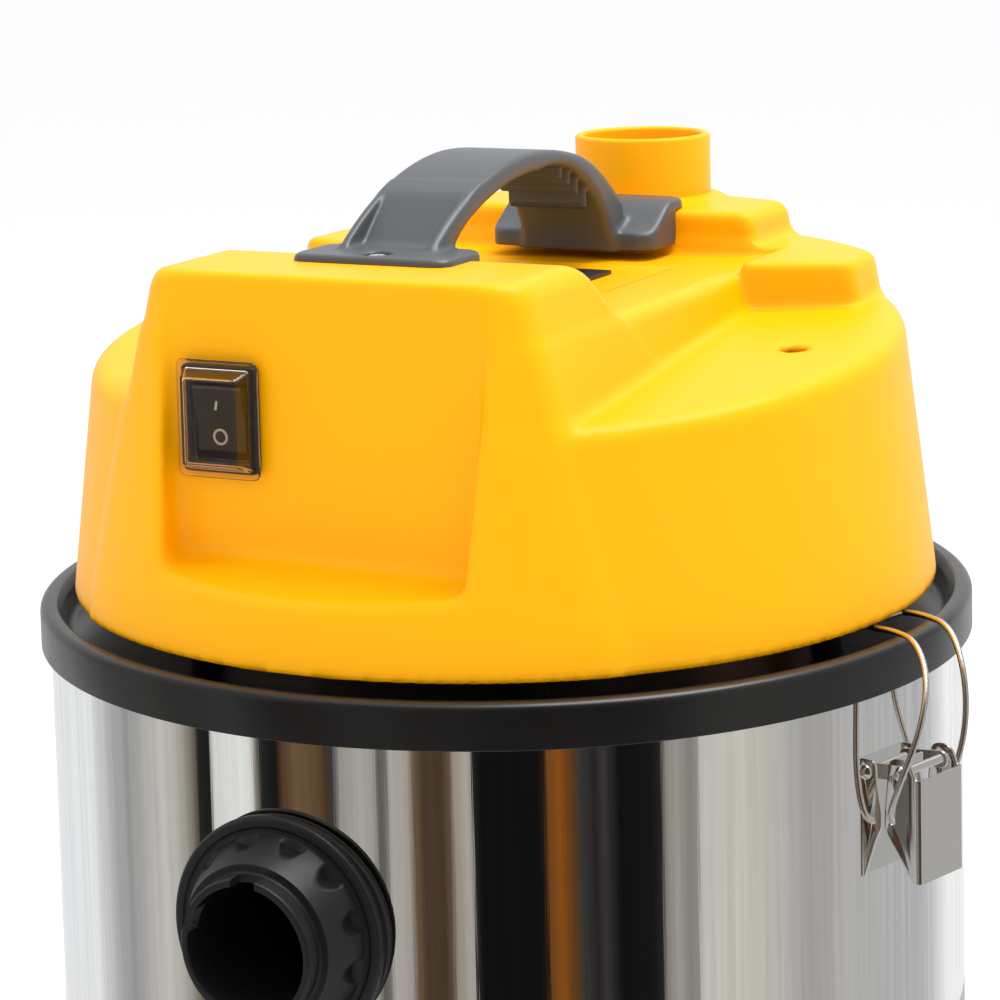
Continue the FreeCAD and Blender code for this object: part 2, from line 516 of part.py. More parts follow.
def floatAndFilter():
    cage = turned("CageTurned", [
        ("airHole", above(-1)), ("airHole", above("dishTop - plateThick")),
        ("cageFlange", above("dishTop - plateThick")), ("cageFlange", above(-1)), ("cageRadius", above(-1)), ("cageRadius", above("-cageDepth")),
        (0, above("-cageDepth")), (0, above("2.5 - cageDepth")), ("cageRadius - 2", above("2.5 - cageDepth")),
        ("cageRadius - 2", above(-3)), ("airHole", above(-3))])
    windows = [box("CageWindow0", 80, 24, 44, 0, 0, above("8 - cageDepth")),
               box("CageWindow1", 24, 80, 44, 0, 0, above("8 - cageDepth"))]
    keep(cut("FloatCage", cage, windows), "float_cage")
    keep(turned("Float", [
        (0, above("3 - cageDepth")), ("floatRadius - 6", above("3 - cageDepth"), 6, -1),
        ("floatRadius", above("9 - cageDepth")), ("floatRadius", above("29 - cageDepth"), "floatRadius", -1),
        ("floatRadius / 4", above("29 - cageDepth + floatRadius * sqrt(15) / 4")),
        (0, above("29 - cageDepth + floatRadius * sqrt(15) / 4"))]), "shutoff_float")
    keep(ring("FilterRing", "filterRingRadius", "filterTop", above(-3), above("dishTop - plateThick")),
         "filter_ring")
    keep(turned("FilterBag", [
        ("filterTop", above("dishTop - plateThick")), ("filterTop", above(-6)), ("filterFoot", above("-filterDepth")),
        (0, above("-filterDepth")), (0, above("clothThick - filterDepth")),
        ("filterFoot - 2", above("clothThick - filterDepth")), ("filterTop - clothThick", above(-6)),
        ("filterTop - clothThick", above("dishTop - plateThick"))]), "filter_bag")


# Clips -----------------------------------------------------------------------------------------

def clip(side, angle):
    """One butterfly clip, built facing +X and turned to its place on the drum."""
    half = size["clipHalf"]
    frame = Placement(Vector(0, 0, seam), Rotation(Vector(0, 0, 1), angle))

    def at(out, along, low):
        return frame.multVec(Vector(out, along, low))

    def sheetMetal(name, corners, thick, wide):
        """A channel: two ears from an outline, joined by a back plate."""
        tag = name + side
        ears = [padded(tag + "Ear%d" % number, "XZ_Plane", corners, thick) for number in (0, 1)]
        for ear, along in zip(ears, (half - 0.5, 0.5 - half)):
            place(ear, 0, along, 0)
        back = box(tag + "Back", thick, "2 * clipHalf", wide[2], wide[0], 0, wide[1])
        return fuse(tag, ears + [back])

    lever = sheetMetal("Lever", [
        ("leverOut", -22), ("leverOut", -58), (196, -58), (188, -46), (184.6, -41), (184.8, -35),
        (186, -22), (187, -17, 4.7, 1), (196, -17), (197.5, -22)], "sheetThick", ("leverOut - 0.5", -58, 36))
    pinHole = cylinder("LeverPinHole" + side, "pinRadius", 40, "clipPivotOut", -20, "clipPivotLow", "y")
    bailHole = cylinder("LeverBailHole" + side, "wireRadius + 0.05", 40, "bailHoleOut", -20, "bailHoleLow", "y")
    lever = cut("LeverDrilled" + side, lever, [pinHole, bailHole])
    lever.Placement = frame
    keep(lever, "clip_lever_" + side)

    base = sheetMetal("Plate", [
        ("plateOut", -60), (176, -60), (181, -46), (183.4, -41), (183.2, -36), (181, -24),
        (180, -19, 4, 1), ("plateOut", -19)], "sheetThick", ("plateOut + 0.5", -60, 41))
    innerPin = cylinder("PlatePinHole" + side, "pinRadius", 40, 177, -20, -23, "y")
    hangHole = cylinder("PlateHangHole" + side, "wireRadius + 0.05", 40, 179.8, -20, -39.6, "y")
    base = cut("PlateDrilled" + side, base, [innerPin, hangHole])
    base.Placement = frame
    keep(base, "clip_plate_" + side)

    arms = [padded("LinkArm%d" % number + side, "XZ_Plane", [
        (174.8, -25.5), (194.3, -24), (194.3, -18), (174.8, -20.5)], 1.2) for number in (0, 1)]
    for arm, along in zip(arms, (10.6, -10.6)):
        place(arm, 0, along, 0)
    web = box("LinkWeb" + side, 1.2, 21, 5, 184, 0, -25)
    rod = cylinder("LinkRod" + side, "pinRadius", 27.4, 177, -13.7, -23, "y")
    heads = [cylinder("LinkHead%d" % number + side, 2.6, 1.1, 177, along, -23, "y")
             for number, along in enumerate((12.6, -13.7))]
    leverHole = cylinder("LinkHole" + side, "pinRadius + 0.05", 40, "clipPivotOut", -20, "clipPivotLow", "y")
    link = cut("LinkDrilled" + side, fuse("LinkSolid" + side, arms + [web, rod] + heads), [leverHole])
    link.Placement = frame
    keep(link, "clip_link_" + side)

    pin = fuse("LeverPin" + side, [
        cylinder("LeverRod" + side, "pinRadius", 27.4, "clipPivotOut", -13.7, "clipPivotLow", "y"),
        cylinder("LeverHead0" + side, 2.6, 1.1, "clipPivotOut", 12.6, "clipPivotLow", "y"),
        cylinder("LeverHead1" + side, 2.6, 1.1, "clipPivotOut", -13.7, "clipPivotLow", "y")])
    pin.Placement = frame
    keep(pin, "clip_lever_pin_" + side)

    # The hanger wire's closed end is held between the rim and the drum.
    hang = size["drumRadius"] + 1.2
    leg = [(179.8, 10.8, -39.6), (179.8, 15.7, -39.6), (174, 15.7, -22), (hang + 0.3, 10, -3), (hang, 10, 4)]
    wire("clip_hanger_" + side, [at(*spot) for spot in leg] +
         [at(out, -along, low) for out, along, low in reversed(leg)], size["wireRadius"], 1.5)

    # The bail's legs lean to one side and pass over the rim; its closed end lies over the dish,
    # just under the cover's edge.
    out, low = size["bailHoleOut"], size["bailHoleLow"]
    near = [(out, -10.6, low), (out, -16, low), (195, -15.6, -15.5), (190.5, 0, 7), (179, 11, 18.4),
            (166, 16.5, 18.6), (157.5, 18, 17.3)]
    far = [(152.7, 42, 17.3), (164, 39.5, 18.6), (180, 33.5, 18.4), (192.5, 24.5, 4), (196, 18.5, -16),
           (out, 16, low), (out, 10.6, low)]
    wire("clip_bail_" + side, [at(*spot) for spot in near + far], size["wireRadius"], 2)


# Carriage --------------------------------------------------------------------------------------

corners = [("front_left", -1, -1), ("front_right", 1, -1), ("rear_left", -1, 1), ("rear_right", 1, 1)]


def carriage():
    tray = turned("TrayTurned", [
        (0, "drumFloor - 4"), ("skirtRadius", "drumFloor - 4"), ("skirtRadius", "skirtTop"),
        ("drumRadius", "skirtTop"), ("drumRadius", "drumFloor + 8"), ("drumRadius", "drumFloor"),
        (0, "drumFloor")])
    lugs, holes = [], []
    for name, x, y in corners:
        px, py = "casterX * %d" % x, "casterY * %d" % y
        lugs.append(cylinder("Lug_" + name, "lugRadius", "drumFloor - lugLow", px, py, "lugLow"))
        arm = doc.addObject("Part::Box", "Arm_" + name)
        arm.Length, arm.Width = 110, 2 * size["lugRadius"]
        bind(arm, "Height", "drumFloor - lugLow")
        along = Vector(x * size["casterX"], y * size["casterY"], 0)
        start = along * (1 - arm.Length.Value / along.Length)
        turn = Rotation(Vector(1, 0, 0), along)
        arm.Placement = Placement(start + turn.multVec(Vector(0, -size["lugRadius"], 0)) +
                                  Vector(0, 0, size["lugLow"]), turn)
        lugs.append(arm)
        holes.append(cylinder("StemHole_" + name, "stemRadius + 0.06", "drumFloor - lugLow - 1", px, py,
                              "lugLow - 0.5"))
    keep(cut("Carriage", fuse("CarriageSolid", [tray] + lugs), holes), "base_carriage")
    keep(group("BaseScrews", [cylinder("BaseScrew%d" % number, 5, 3, 110 * x, 110 * y, "drumFloor - 7")
                              for number, (x, y) in enumerate(((1, 0), (0, 1), (-1, 0), (0, -1)))]),
         "base_screws")


def caster(name, x, y):
    """A swivel caster whose wheel trails outwards, away from the middle of the machine."""
    px, py = "casterX * %d" % x, "casterY * %d" % y
    cheeks = [padded("Cheek%d_" % number + name, "YZ_Plane", [
        (-11, 56), (-11, 51), (13, 20), (20, 18), (27, 20), (28, 27), (16, 56)], "forkThick")
        for number in (0, 1)]
    reach = size["forkInside"] + size["forkThick"] / 2
    for cheek, across in zip(cheeks, (reach, -reach)):
        place(cheek, across, 0, 0)
    bridge = box("Bridge_" + name, "2 * (forkInside + forkThick)", 27, 4, 0, 2.5, 52)
    stem = cylinder("Stem_" + name, "stemRadius", 22, 0, 0, 56)
    washer = cylinder("Washer_" + name, 9, 4, 0, 0, 56)
    bore = cylinder("ForkBore_" + name, "axleRadius", 40, -20, "casterTrail", "wheelRadius", "x")
    turn = Rotation(Vector(0, 0, 1), 0 if y > 0 else 180)
    spot = Placement(Vector(value(px), value(py), 0), turn)
    fork = cut("Fork_" + name, fuse("ForkSolid_" + name, cheeks + [bridge, stem, washer]), [bore])
    wheel = turned("Wheel_" + name, [
        ("axleRadius + 0.05", -10), (9, -10), (9, -7), (19, -7), (19, "-wheelWide / 2"),
        ("wheelRadius - 2", "-wheelWide / 2", 2, -1), ("wheelRadius", "2 - wheelWide / 2"),
        ("wheelRadius", "wheelWide / 2 - 2", 2, -1), ("wheelRadius - 2", "wheelWide / 2"),
        (19, "wheelWide / 2"), (19, 7), (9, 7), (9, 10), ("axleRadius + 0.05", 10)])
    axle = cylinder("Axle_" + name, "axleRadius", 30, -15, "casterTrail", "wheelRadius", "x")
    heads = [cylinder("AxleHead%d_" % number + name, 4.6, 1.7, across, "casterTrail", "wheelRadius", "x")
             for number, across in enumerate((13.3, -15))]
    axle = fuse("AxleSolid_" + name, [axle] + heads)
    hub = Placement(Vector(0, size["casterTrail"], size["wheelRadius"]), turns["x"])
    for solid, local, label in ((fork, Placement(), "caster_fork_"), (wheel, hub, "caster_wheel_"),
                                (axle, Placement(), "caster_axle_")):
        keep(moved(solid, spot.multiply(local)), label + name)


drum()
inlet()
headPlate()
headCover()
coverFittings()
switch()
handle()
motor()
floatAndFilter()
clip("right", size["clipAngle"] - 90)
clip("left", size["clipAngle"] + 90)
carriage()
for name, x, y in corners:
    caster(name, x, y)
doc.recompute()

# Nothing is written unless every object and every sub-part's shape is sound.
for thing in doc.Objects:
    if {"Invalid", "Error"} & set(thing.State):
        raise RuntimeError("%s (%s) failed: %s" % (thing.Name, thing.Label, thing.State))
for part in parts:
    if part.Shape.isNull() or not part.Shape.isValid() or not part.Shape.Solids:
        raise RuntimeError("%s has no sound shape" % part.Label)
os.makedirs("parts", exist_ok=True)
for part in parts:
    part.Shape.exportStep(os.path.join("parts", part.Label + ".step"))
    print("%-26s %d solid(s) %12.1f mm3" % (part.Label, len(part.Shape.Solids), part.Shape.Volume))
print(len(parts), "nodes")
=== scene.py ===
import json
from math import atan2, cos, hypot, pi, radians, sin, sqrt, tan

import bmesh
import bpy
import numpy as np
from mathutils import Matrix, Vector

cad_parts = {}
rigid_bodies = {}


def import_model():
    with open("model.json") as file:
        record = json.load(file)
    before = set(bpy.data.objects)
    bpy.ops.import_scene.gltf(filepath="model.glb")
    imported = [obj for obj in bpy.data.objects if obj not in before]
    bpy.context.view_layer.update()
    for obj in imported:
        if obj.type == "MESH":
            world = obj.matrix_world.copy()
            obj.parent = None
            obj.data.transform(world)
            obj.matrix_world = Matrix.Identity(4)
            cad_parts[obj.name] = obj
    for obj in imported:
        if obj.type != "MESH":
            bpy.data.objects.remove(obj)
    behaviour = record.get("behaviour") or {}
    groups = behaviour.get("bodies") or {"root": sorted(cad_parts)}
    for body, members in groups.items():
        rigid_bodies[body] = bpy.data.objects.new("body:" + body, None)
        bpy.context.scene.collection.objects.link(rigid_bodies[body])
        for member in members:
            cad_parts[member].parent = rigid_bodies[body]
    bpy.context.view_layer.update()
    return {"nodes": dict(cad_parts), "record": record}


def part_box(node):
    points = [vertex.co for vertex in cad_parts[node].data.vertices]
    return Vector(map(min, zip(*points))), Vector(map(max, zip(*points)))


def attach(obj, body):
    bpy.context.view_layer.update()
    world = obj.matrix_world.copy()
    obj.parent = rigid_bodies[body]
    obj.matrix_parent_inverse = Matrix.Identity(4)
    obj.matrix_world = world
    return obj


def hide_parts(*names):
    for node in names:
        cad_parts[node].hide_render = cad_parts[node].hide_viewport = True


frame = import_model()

# Shapes are worked out in millimetres with heights above the seam, the underside of the
# head's rim, and turned into metres when a mesh is made.
mm = 0.001
scene = bpy.context.scene
gasketRise = 7.4
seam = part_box("head_gasket")[0].z / mm - gasketRise
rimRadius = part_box("head_plate")[1].x / mm
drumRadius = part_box("drum")[1].x / mm


# ---- mesh helpers

def meshObject(name, verts, faces, smooth=True):
    mesh = bpy.data.meshes.new(name)
    mesh.from_pydata([tuple(v) for v in verts], [], faces)
    mesh.update()
    thing = bpy.data.objects.new(name, mesh)
    scene.collection.objects.link(thing)
    if smooth:
        mesh.polygons.foreach_set("use_smooth", [True] * len(mesh.polygons))
    return thing


# Bakes the modifiers into the mesh.
def applied(thing):
    graph = bpy.context.evaluated_depsgraph_get()
    fresh = bpy.data.meshes.new_from_object(thing.evaluated_get(graph))
    thing.modifiers.clear()
    thing.data = fresh
    return thing


def bevelled(thing, width, segments=3, angle=30):
    bevel = thing.modifiers.new("Bevel", "BEVEL")
    bevel.width = width * mm
    bevel.segments = segments
    bevel.limit_method = "ANGLE"
    bevel.angle_limit = radians(angle)
    bevel.harden_normals = False
    normals = thing.modifiers.new("Normals", "WEIGHTED_NORMAL")
    normals.keep_sharp = True
    return applied(thing)


# Corners with a radius become short arcs; each corner is (x, y) or (x, y, radius).
def rounded(corners, closed=True, steps=6):
    path = []
    count = len(corners)
    for index, corner in enumerate(corners):
        here = Vector(corner[:2])
        radius = corner[2] if len(corner) > 2 else 0
        if radius == 0 or (not closed and index in (0, count - 1)):
            path.append(here)
            continue
        back = (Vector(corners[index - 1][:2]) - here)
        ahead = (Vector(corners[(index + 1) % count][:2]) - here)
        half = back.angle(ahead) / 2
        if half > radians(89.5):
            path.append(here)
            continue
        reach = min(radius / tan(half), back.length * 0.49, ahead.length * 0.49)
        radius = reach * tan(half)
        centre = here + (back.normalized() + ahead.normalized()).normalized() * (radius / sin(half))
        start = here + back.normalized() * reach - centre
        sweep = start.angle_signed(here + ahead.normalized() * reach - centre)
        for step in range(steps + 1):
            turn = -sweep * step / steps
            path.append(centre + Vector((start.x * cos(turn) - start.y * sin(turn),
                                         start.x * sin(turn) + start.y * cos(turn))))
    return path


# Turned about an upright axis through (x, y); each profile point is (radius, height above the seam).
def lathe(name, corners, x=0, y=0, base=None, segments=192, steps=6, frameOf=None, shape=None):
    profile = rounded(corners, True, steps)
    base = seam if base is None else base
    verts, faces = [], []
    for p in profile:
        for s in range(segments):
            turn = 2 * pi * s / segments
            radius = p.x if shape is None else shape(p.x, p.y, turn)
            spot = Vector((radius * cos(turn), radius * sin(turn), p.y))
            spot = frameOf @ spot if frameOf else spot + Vector((x, y, base))
            verts.append(spot * mm)
    rows = len(profile)
    for r in range(rows):
        low, high = r * segments, ((r + 1) % rows) * segments
        for s in range(segments):
            following = (s + 1) % segments
            faces.append((low + s, low + following, high + following, high + s))
    thing = meshObject(name, verts, faces)
    tidyMesh(thing)
    sharpen(thing)
    return thing


# Points on the axis are merged, and all faces point outwards.
def tidyMesh(thing, distance=0.00001):
    mesh = bmesh.new()
    mesh.from_mesh(thing.data)
    bmesh.ops.remove_doubles(mesh, verts=mesh.verts, dist=distance)
    loose = [v for v in mesh.verts if not v.link_faces]
    bmesh.ops.delete(mesh, geom=loose, context="VERTS")
    bmesh.ops.recalc_face_normals(mesh, faces=mesh.faces)
    mesh.to_mesh(thing.data)
    mesh.free()


def sharpen(thing, angle=40):
    mesh = bmesh.new()
    mesh.from_mesh(thing.data)
    for edge in mesh.edges:
        if len(edge.link_faces) == 2 and edge.calc_face_angle(0) > radians(angle):
            edge.smooth = False
    mesh.to_mesh(thing.data)
    mesh.free()


# A flat outline in X and Z, padded both ways along Y, then put in a frame.
def padded(name, corners, thick, frameOf, along=0, steps=5, bevel=0):
    path = rounded(corners, True, steps)
    count = len(path)
    verts = []
    for side in (-0.5, 0.5):
        verts += [(frameOf @ Vector((p.x, along + side * thick, p.y))) * mm for p in path]
    faces = [tuple(range(count)), tuple(range(2 * count - 1, count - 1, -1))]
    faces += [(i, i + count, (i + 1) % count + count, (i + 1) % count) for i in range(count)]
    thing = meshObject(name, verts, faces)
    tidyMesh(thing)
    if bevel:
        bevelled(thing, bevel, 2, 35)
    sharpen(thing)
    return thing


def slab(name, low, high, bevel, frameOf=None, segments=3):
    frameOf = frameOf or Matrix.Identity(4)
    corners = [Vector((x, y, z)) for x in (low[0], high[0]) for y in (low[1], high[1])
               for z in (low[2], high[2])]
    faces = [(0, 1, 3, 2), (4, 6, 7, 5), (0, 4, 5, 1), (2, 3, 7, 6), (0, 2, 6, 4), (1, 5, 7, 3)]
    thing = meshObject(name, [(frameOf @ c) * mm for c in corners], faces)
    tidyMesh(thing)
    bevelled(thing, bevel, segments, 30)
    return thing


def joined(name, things):
    first = things[0]
    with bpy.context.temp_override(active_object=first, selected_editable_objects=things,
                                   object=first, selected_objects=things):
        bpy.ops.object.join()
    first.name = name
    return first


def subtract(thing, tools):
    for tool in tools:
        boolean = thing.modifiers.new("Cut", "BOOLEAN")
        boolean.operation = "DIFFERENCE"
        boolean.solver = "EXACT"
        boolean.object = tool
        applied(thing)
        bpy.data.objects.remove(tool)
    return thing


# A round wire through points, as a smooth NURBS curve turned into a mesh.
def wireRod(name, points, radius, frameOf, steps=12):
    curve = bpy.data.curves.new(name, "CURVE")
    curve.dimensions = "3D"
    curve.bevel_depth = radius * mm
    curve.bevel_resolution = 6
    curve.resolution_u = steps
    curve.use_fill_caps = True
    line = curve.splines.new("NURBS")
    line.points.add(len(points) - 1)
    for spot, point in zip(points, line.points):
        point.co = ((frameOf @ Vector(spot)) * mm).to_4d()
    line.order_u = 3
    line.use_endpoint_u = True
    rod = bpy.data.objects.new(name, curve)
    scene.collection.objects.link(rod)
    mesh = bpy.data.meshes.new_from_object(rod.evaluated_get(bpy.context.evaluated_depsgraph_get()))
    bpy.data.objects.remove(rod)
    thing = bpy.data.objects.new(name, mesh)
    scene.collection.objects.link(thing)
    mesh.polygons.foreach_set("use_smooth", [True] * len(mesh.polygons))
    tidyMesh(thing)
    sharpen(thing, 50)
    return thing


# ---- moulded forms: a smooth field is negative inside the plastic and positive outside

def over(a, b, blend):      # larger of two, with a rounded edge
    spread = np.clip(0.5 + 0.5 * (a - b) / blend, 0, 1)
    return b + (a - b) * spread + blend * spread * (1 - spread)


def under(a, b, blend):      # smaller of two, with a filleted corner
    return -over(-a, -b, blend)


def plane(u, v, first, second):
    # distance to the right of a line from first to second, in any two coordinates
    du, dv = second[0] - first[0], second[1] - first[1]
    length = hypot(du, dv)
    return ((u - first[0]) * dv - (v - first[1]) * du) / length


# Surface nets: one point in each grid cell that the surface crosses, then pulled onto the surface.
def moulded(name, field, low, high, cell):
    counts = [int((h - l) / cell) + 2 for l, h in zip(low, high)]
    axes = [l + cell * np.arange(n) for l, n in zip(low, counts)]
    values = field(*np.meshgrid(*axes, indexing="ij"))
    inside = values < 0
    number = -np.ones([n - 1 for n in counts], int)
    corner = np.zeros(number.shape, int)
    for i in (0, 1):
        for j in (0, 1):
            for k in (0, 1):
                corner += inside[i:counts[0] - 1 + i, j:counts[1] - 1 + j, k:counts[2] - 1 + k]
    crossed = (corner > 0) & (corner < 8)
    number[crossed] = np.arange(crossed.sum())
    spots = np.stack([axis[index] + cell / 2 for axis, index in zip(axes, np.nonzero(crossed))], 1)
    faces = []
    for axis in range(3):
        a = [slice(1, -1)] * 3
        b = [slice(1, -1)] * 3
        a[axis] = slice(0, -1)
        b[axis] = slice(1, None)
        first, second = inside[tuple(a)], inside[tuple(b)]
        others = [n for n in range(3) if n != axis]
        for flip in (False, True):
            hit = np.nonzero((first & ~second) if not flip else (~first & second))
            place = [index + (0 if n == axis else 1) for n, index in enumerate(hit)]
            ring = []
            for du, dv in ((0, 0), (1, 0), (1, 1), (0, 1)):
                at = list(place)
                at[others[0]] = at[others[0]] - du
                at[others[1]] = at[others[1]] - dv
                ring.append(number[tuple(at)])
            turnOver = flip if axis != 1 else not flip
            faces.append(np.stack(ring if not turnOver else ring[::-1], 1))
    faces = np.concatenate(faces)
    start = spots.copy()
    step = cell * 0.05
    for sweep in range(14):
        here = field(*spots.T)
        slope = np.stack([(field(*(spots + step * unit).T) - field(*(spots - step * unit).T)) / (2 * step)
                          for unit in np.eye(3)], 1)
        length = np.maximum((slope ** 2).sum(1), 0.2)
        move = -(here / length)[:, None] * slope
        limit = np.minimum(1, cell * 0.6 / np.maximum(np.linalg.norm(move, axis=1), 1e-9))
        spots = spots + move * limit[:, None]
        if sweep in (2, 5, 8):      # even out the grid along the surface
            spots = relaxed(spots, faces, slope)
    strayed = np.linalg.norm(spots - start, axis=1) > 2.2 * cell
    spots[strayed] = start[strayed]
    spots[:, 2] += seam
    thing = meshObject(name, spots * mm, faces.tolist())
    tidyMesh(thing)
    return thing


def relaxed(spots, faces, slope):
    total = np.zeros_like(spots)
    tally = np.zeros(len(spots))
    for n in range(4):
        for shift in (1, 3):
            np.add.at(total, faces[:, n], spots[faces[:, (n + shift) % 4]])
            np.add.at(tally, faces[:, n], 1)
    move = total / np.maximum(tally, 1)[:, None] - spots
    normal = slope / np.maximum(np.linalg.norm(slope, axis=1), 1e-9)[:, None]
    move -= (move * normal).sum(1)[:, None] * normal
    return spots + move * 0.6


# ---- materials

def newMaterial(name, colour, roughness, metallic=0.0, **plain):
    material = bpy.data.materials.new(name)
    material.use_nodes = True
    shader = material.node_tree.nodes["Principled BSDF"]
    shader.inputs["Base Color"].default_value = (*colour, 1)
    shader.inputs["Roughness"].default_value = roughness
    shader.inputs["Metallic"].default_value = metallic
    for socket, number in plain.items():
        shader.inputs[socket.replace("_", " ")].default_value = number
    return material, material.node_tree, shader


def groupTree(name, inputs, outputs):
    tree = bpy.data.node_groups.new(name, "ShaderNodeTree")
    for label, kind, default in inputs:
        socket = tree.interface.new_socket(label, in_out="INPUT", socket_type=kind)
        socket.default_value = default
    for label, kind in outputs:
        tree.interface.new_socket(label, in_out="OUTPUT", socket_type=kind)
    return tree, tree.nodes.new("NodeGroupInput"), tree.nodes.new("NodeGroupOutput")


def mathNode(tree, operation, first, second=None, third=None, clamp=False):
    node = tree.nodes.new("ShaderNodeMath")
    node.operation = operation
    node.use_clamp = clamp
    for socket, thing in zip(node.inputs, (first, second, third)):
        if thing is None:
            continue
        if isinstance(thing, (int, float)):
            socket.default_value = thing
        else:
            tree.links.new(thing, socket)
    return node.outputs[0]


def noiseNode(tree, vector, scale, detail=3, roughness=0.55):
    node = tree.nodes.new("ShaderNodeTexNoise")
    node.inputs["Scale"].default_value = scale
    node.inputs["Detail"].default_value = detail
    node.inputs["Roughness"].default_value = roughness
    tree.links.new(vector, node.inputs["Vector"])
    return node.outputs["Fac"]


def stretched(tree, factors):
    coordinates = tree.nodes.new("ShaderNodeTexCoord")
    mapping = tree.nodes.new("ShaderNodeMapping")
    mapping.inputs["Scale"].default_value = factors
    tree.links.new(coordinates.outputs["Object"], mapping.inputs["Vector"])
    return mapping.outputs["Vector"]


# Fine moulded grain, slow gloss variation and a light dust film on faces that look up.
def mouldedSkinGroup():
    tree, entry, leave = groupTree("MouldedSkin", [
        ("Colour", "NodeSocketColor", (0.8, 0.8, 0.8, 1)), ("Roughness", "NodeSocketFloat", 0.4),
        ("Grain Scale", "NodeSocketFloat", 2500), ("Grain Depth", "NodeSocketFloat", 0.15),
        ("Gloss Variation", "NodeSocketFloat", 0.06), ("Dust", "NodeSocketFloat", 0.05)],
        [("Colour", "NodeSocketColor"), ("Roughness", "NodeSocketFloat"), ("Normal", "NodeSocketVector")])
    where = stretched(tree, (1, 1, 1))
    fine = tree.nodes.new("ShaderNodeTexNoise")
    fine.inputs["Detail"].default_value = 2
    tree.links.new(where, fine.inputs["Vector"])
    tree.links.new(entry.outputs["Grain Scale"], fine.inputs["Scale"])
    bump = tree.nodes.new("ShaderNodeBump")
    bump.inputs["Distance"].default_value = 0.0002
    tree.links.new(entry.outputs["Grain Depth"], bump.inputs["Strength"])
    tree.links.new(fine.outputs["Fac"], bump.inputs["Height"])
    slow = noiseNode(tree, where, 18, 4)
    smear = noiseNode(tree, where, 90, 3)
    mixed = mathNode(tree, "MULTIPLY_ADD", smear, 0.4, mathNode(tree, "MULTIPLY", slow, 0.6))
    centred = mathNode(tree, "SUBTRACT", mixed, 0.5)
    swing = mathNode(tree, "MULTIPLY", centred, entry.outputs["Gloss Variation"])
    geometry = tree.nodes.new("ShaderNodeNewGeometry")
    split = tree.nodes.new("ShaderNodeSeparateXYZ")
    tree.links.new(geometry.outputs["Normal"], split.inputs[0])
    up = mathNode(tree, "POWER", mathNode(tree, "MAXIMUM", split.outputs["Z"], 0.0), 2.0)
    settled = mathNode(tree, "MULTIPLY", slow, entry.outputs["Dust"])
    speck = mathNode(tree, "MULTIPLY", up, settled, clamp=True)
    mix = tree.nodes.new("ShaderNodeMix")
    mix.data_type = "RGBA"
    mix.inputs["B"].default_value = (0.62, 0.60, 0.56, 1)
    tree.links.new(speck, mix.inputs["Factor"])
    tree.links.new(entry.outputs["Colour"], mix.inputs["A"])
    tree.links.new(mix.outputs["Result"], leave.inputs["Colour"])
    rough = mathNode(tree, "ADD", mathNode(tree, "MULTIPLY_ADD", swing, 2.0, entry.outputs["Roughness"]),
                     mathNode(tree, "MULTIPLY", speck, 1.5), clamp=True)
    tree.links.new(rough, leave.inputs["Roughness"])
    tree.links.new(bump.outputs["Normal"], leave.inputs["Normal"])
    return tree


# Long thin scratches that follow one direction, a rolling wave and smudges for sheet metal.
def sheetMetalGroup():
    tree, entry, leave = groupTree("SheetMetal", [
        ("Colour", "NodeSocketColor", (0.7, 0.7, 0.7, 1)), ("Roughness", "NodeSocketFloat", 0.1),
        ("Wave", "NodeSocketFloat", 0.1), ("Scratches", "NodeSocketFloat", 0.1),
        ("Smudges", "NodeSocketFloat", 0.05)],
        [("Colour", "NodeSocketColor"), ("Roughness", "NodeSocketFloat"), ("Normal", "NodeSocketVector")])
    along = stretched(tree, (1, 1, 0.02))
    lines = noiseNode(tree, along, 900, 2)
    wide = noiseNode(tree, stretched(tree, (1, 1, 0.12)), 14, 2)
    smudge = noiseNode(tree, stretched(tree, (1, 1, 1)), 26, 5, 0.6)
    height = mathNode(tree, "ADD", mathNode(tree, "MULTIPLY", lines, entry.outputs["Scratches"]),
                      mathNode(tree, "MULTIPLY", wide, entry.outputs["Wave"]))
    bump = tree.nodes.new("ShaderNodeBump")
    bump.inputs["Distance"].default_value = 0.001
    tree.links.new(height, bump.inputs["Height"])
    capped = mathNode(tree, "SMOOTH_MIN", smudge, 0.8, 0.3)
    patch = mathNode(tree, "MULTIPLY", capped, entry.outputs["Smudges"])
    scuff = mathNode(tree, "MULTIPLY", entry.outputs["Scratches"], 0.5)
    worn = mathNode(tree, "MULTIPLY_ADD", lines, scuff, patch)
    rough = mathNode(tree, "ADD", entry.outputs["Roughness"], worn, clamp=True)
    dark = tree.nodes.new("ShaderNodeMix")
    dark.data_type = "RGBA"
    dark.blend_type = "MULTIPLY"
    dark.inputs["B"].default_value = (0.86, 0.84, 0.80, 1)
    tree.links.new(patch, dark.inputs["Factor"])
    tree.links.new(entry.outputs["Colour"], dark.inputs["A"])
    tree.links.new(dark.outputs["Result"], leave.inputs["Colour"])
    tree.links.new(rough, leave.inputs["Roughness"])
    tree.links.new(bump.outputs["Normal"], leave.inputs["Normal"])
    return tree


mouldedSkin = mouldedSkinGroup()
sheetMetal = sheetMetalGroup()


def useGroup(made, group, colour, roughness, **settings):
    material, tree, shader = made
    node = tree.nodes.new("ShaderNodeGroup")
    node.node_tree = group
    node.inputs["Colour"].default_value = (*colour, 1)
    node.inputs["Roughness"].default_value = roughness
    for label, number in settings.items():
        node.inputs[label.replace("_", " ")].default_value = number
    tree.links.new(node.outputs["Colour"], shader.inputs["Base Color"])
    tree.links.new(node.outputs["Roughness"], shader.inputs["Roughness"])
    tree.links.new(node.outputs["Normal"], shader.inputs["Normal"])
    return material


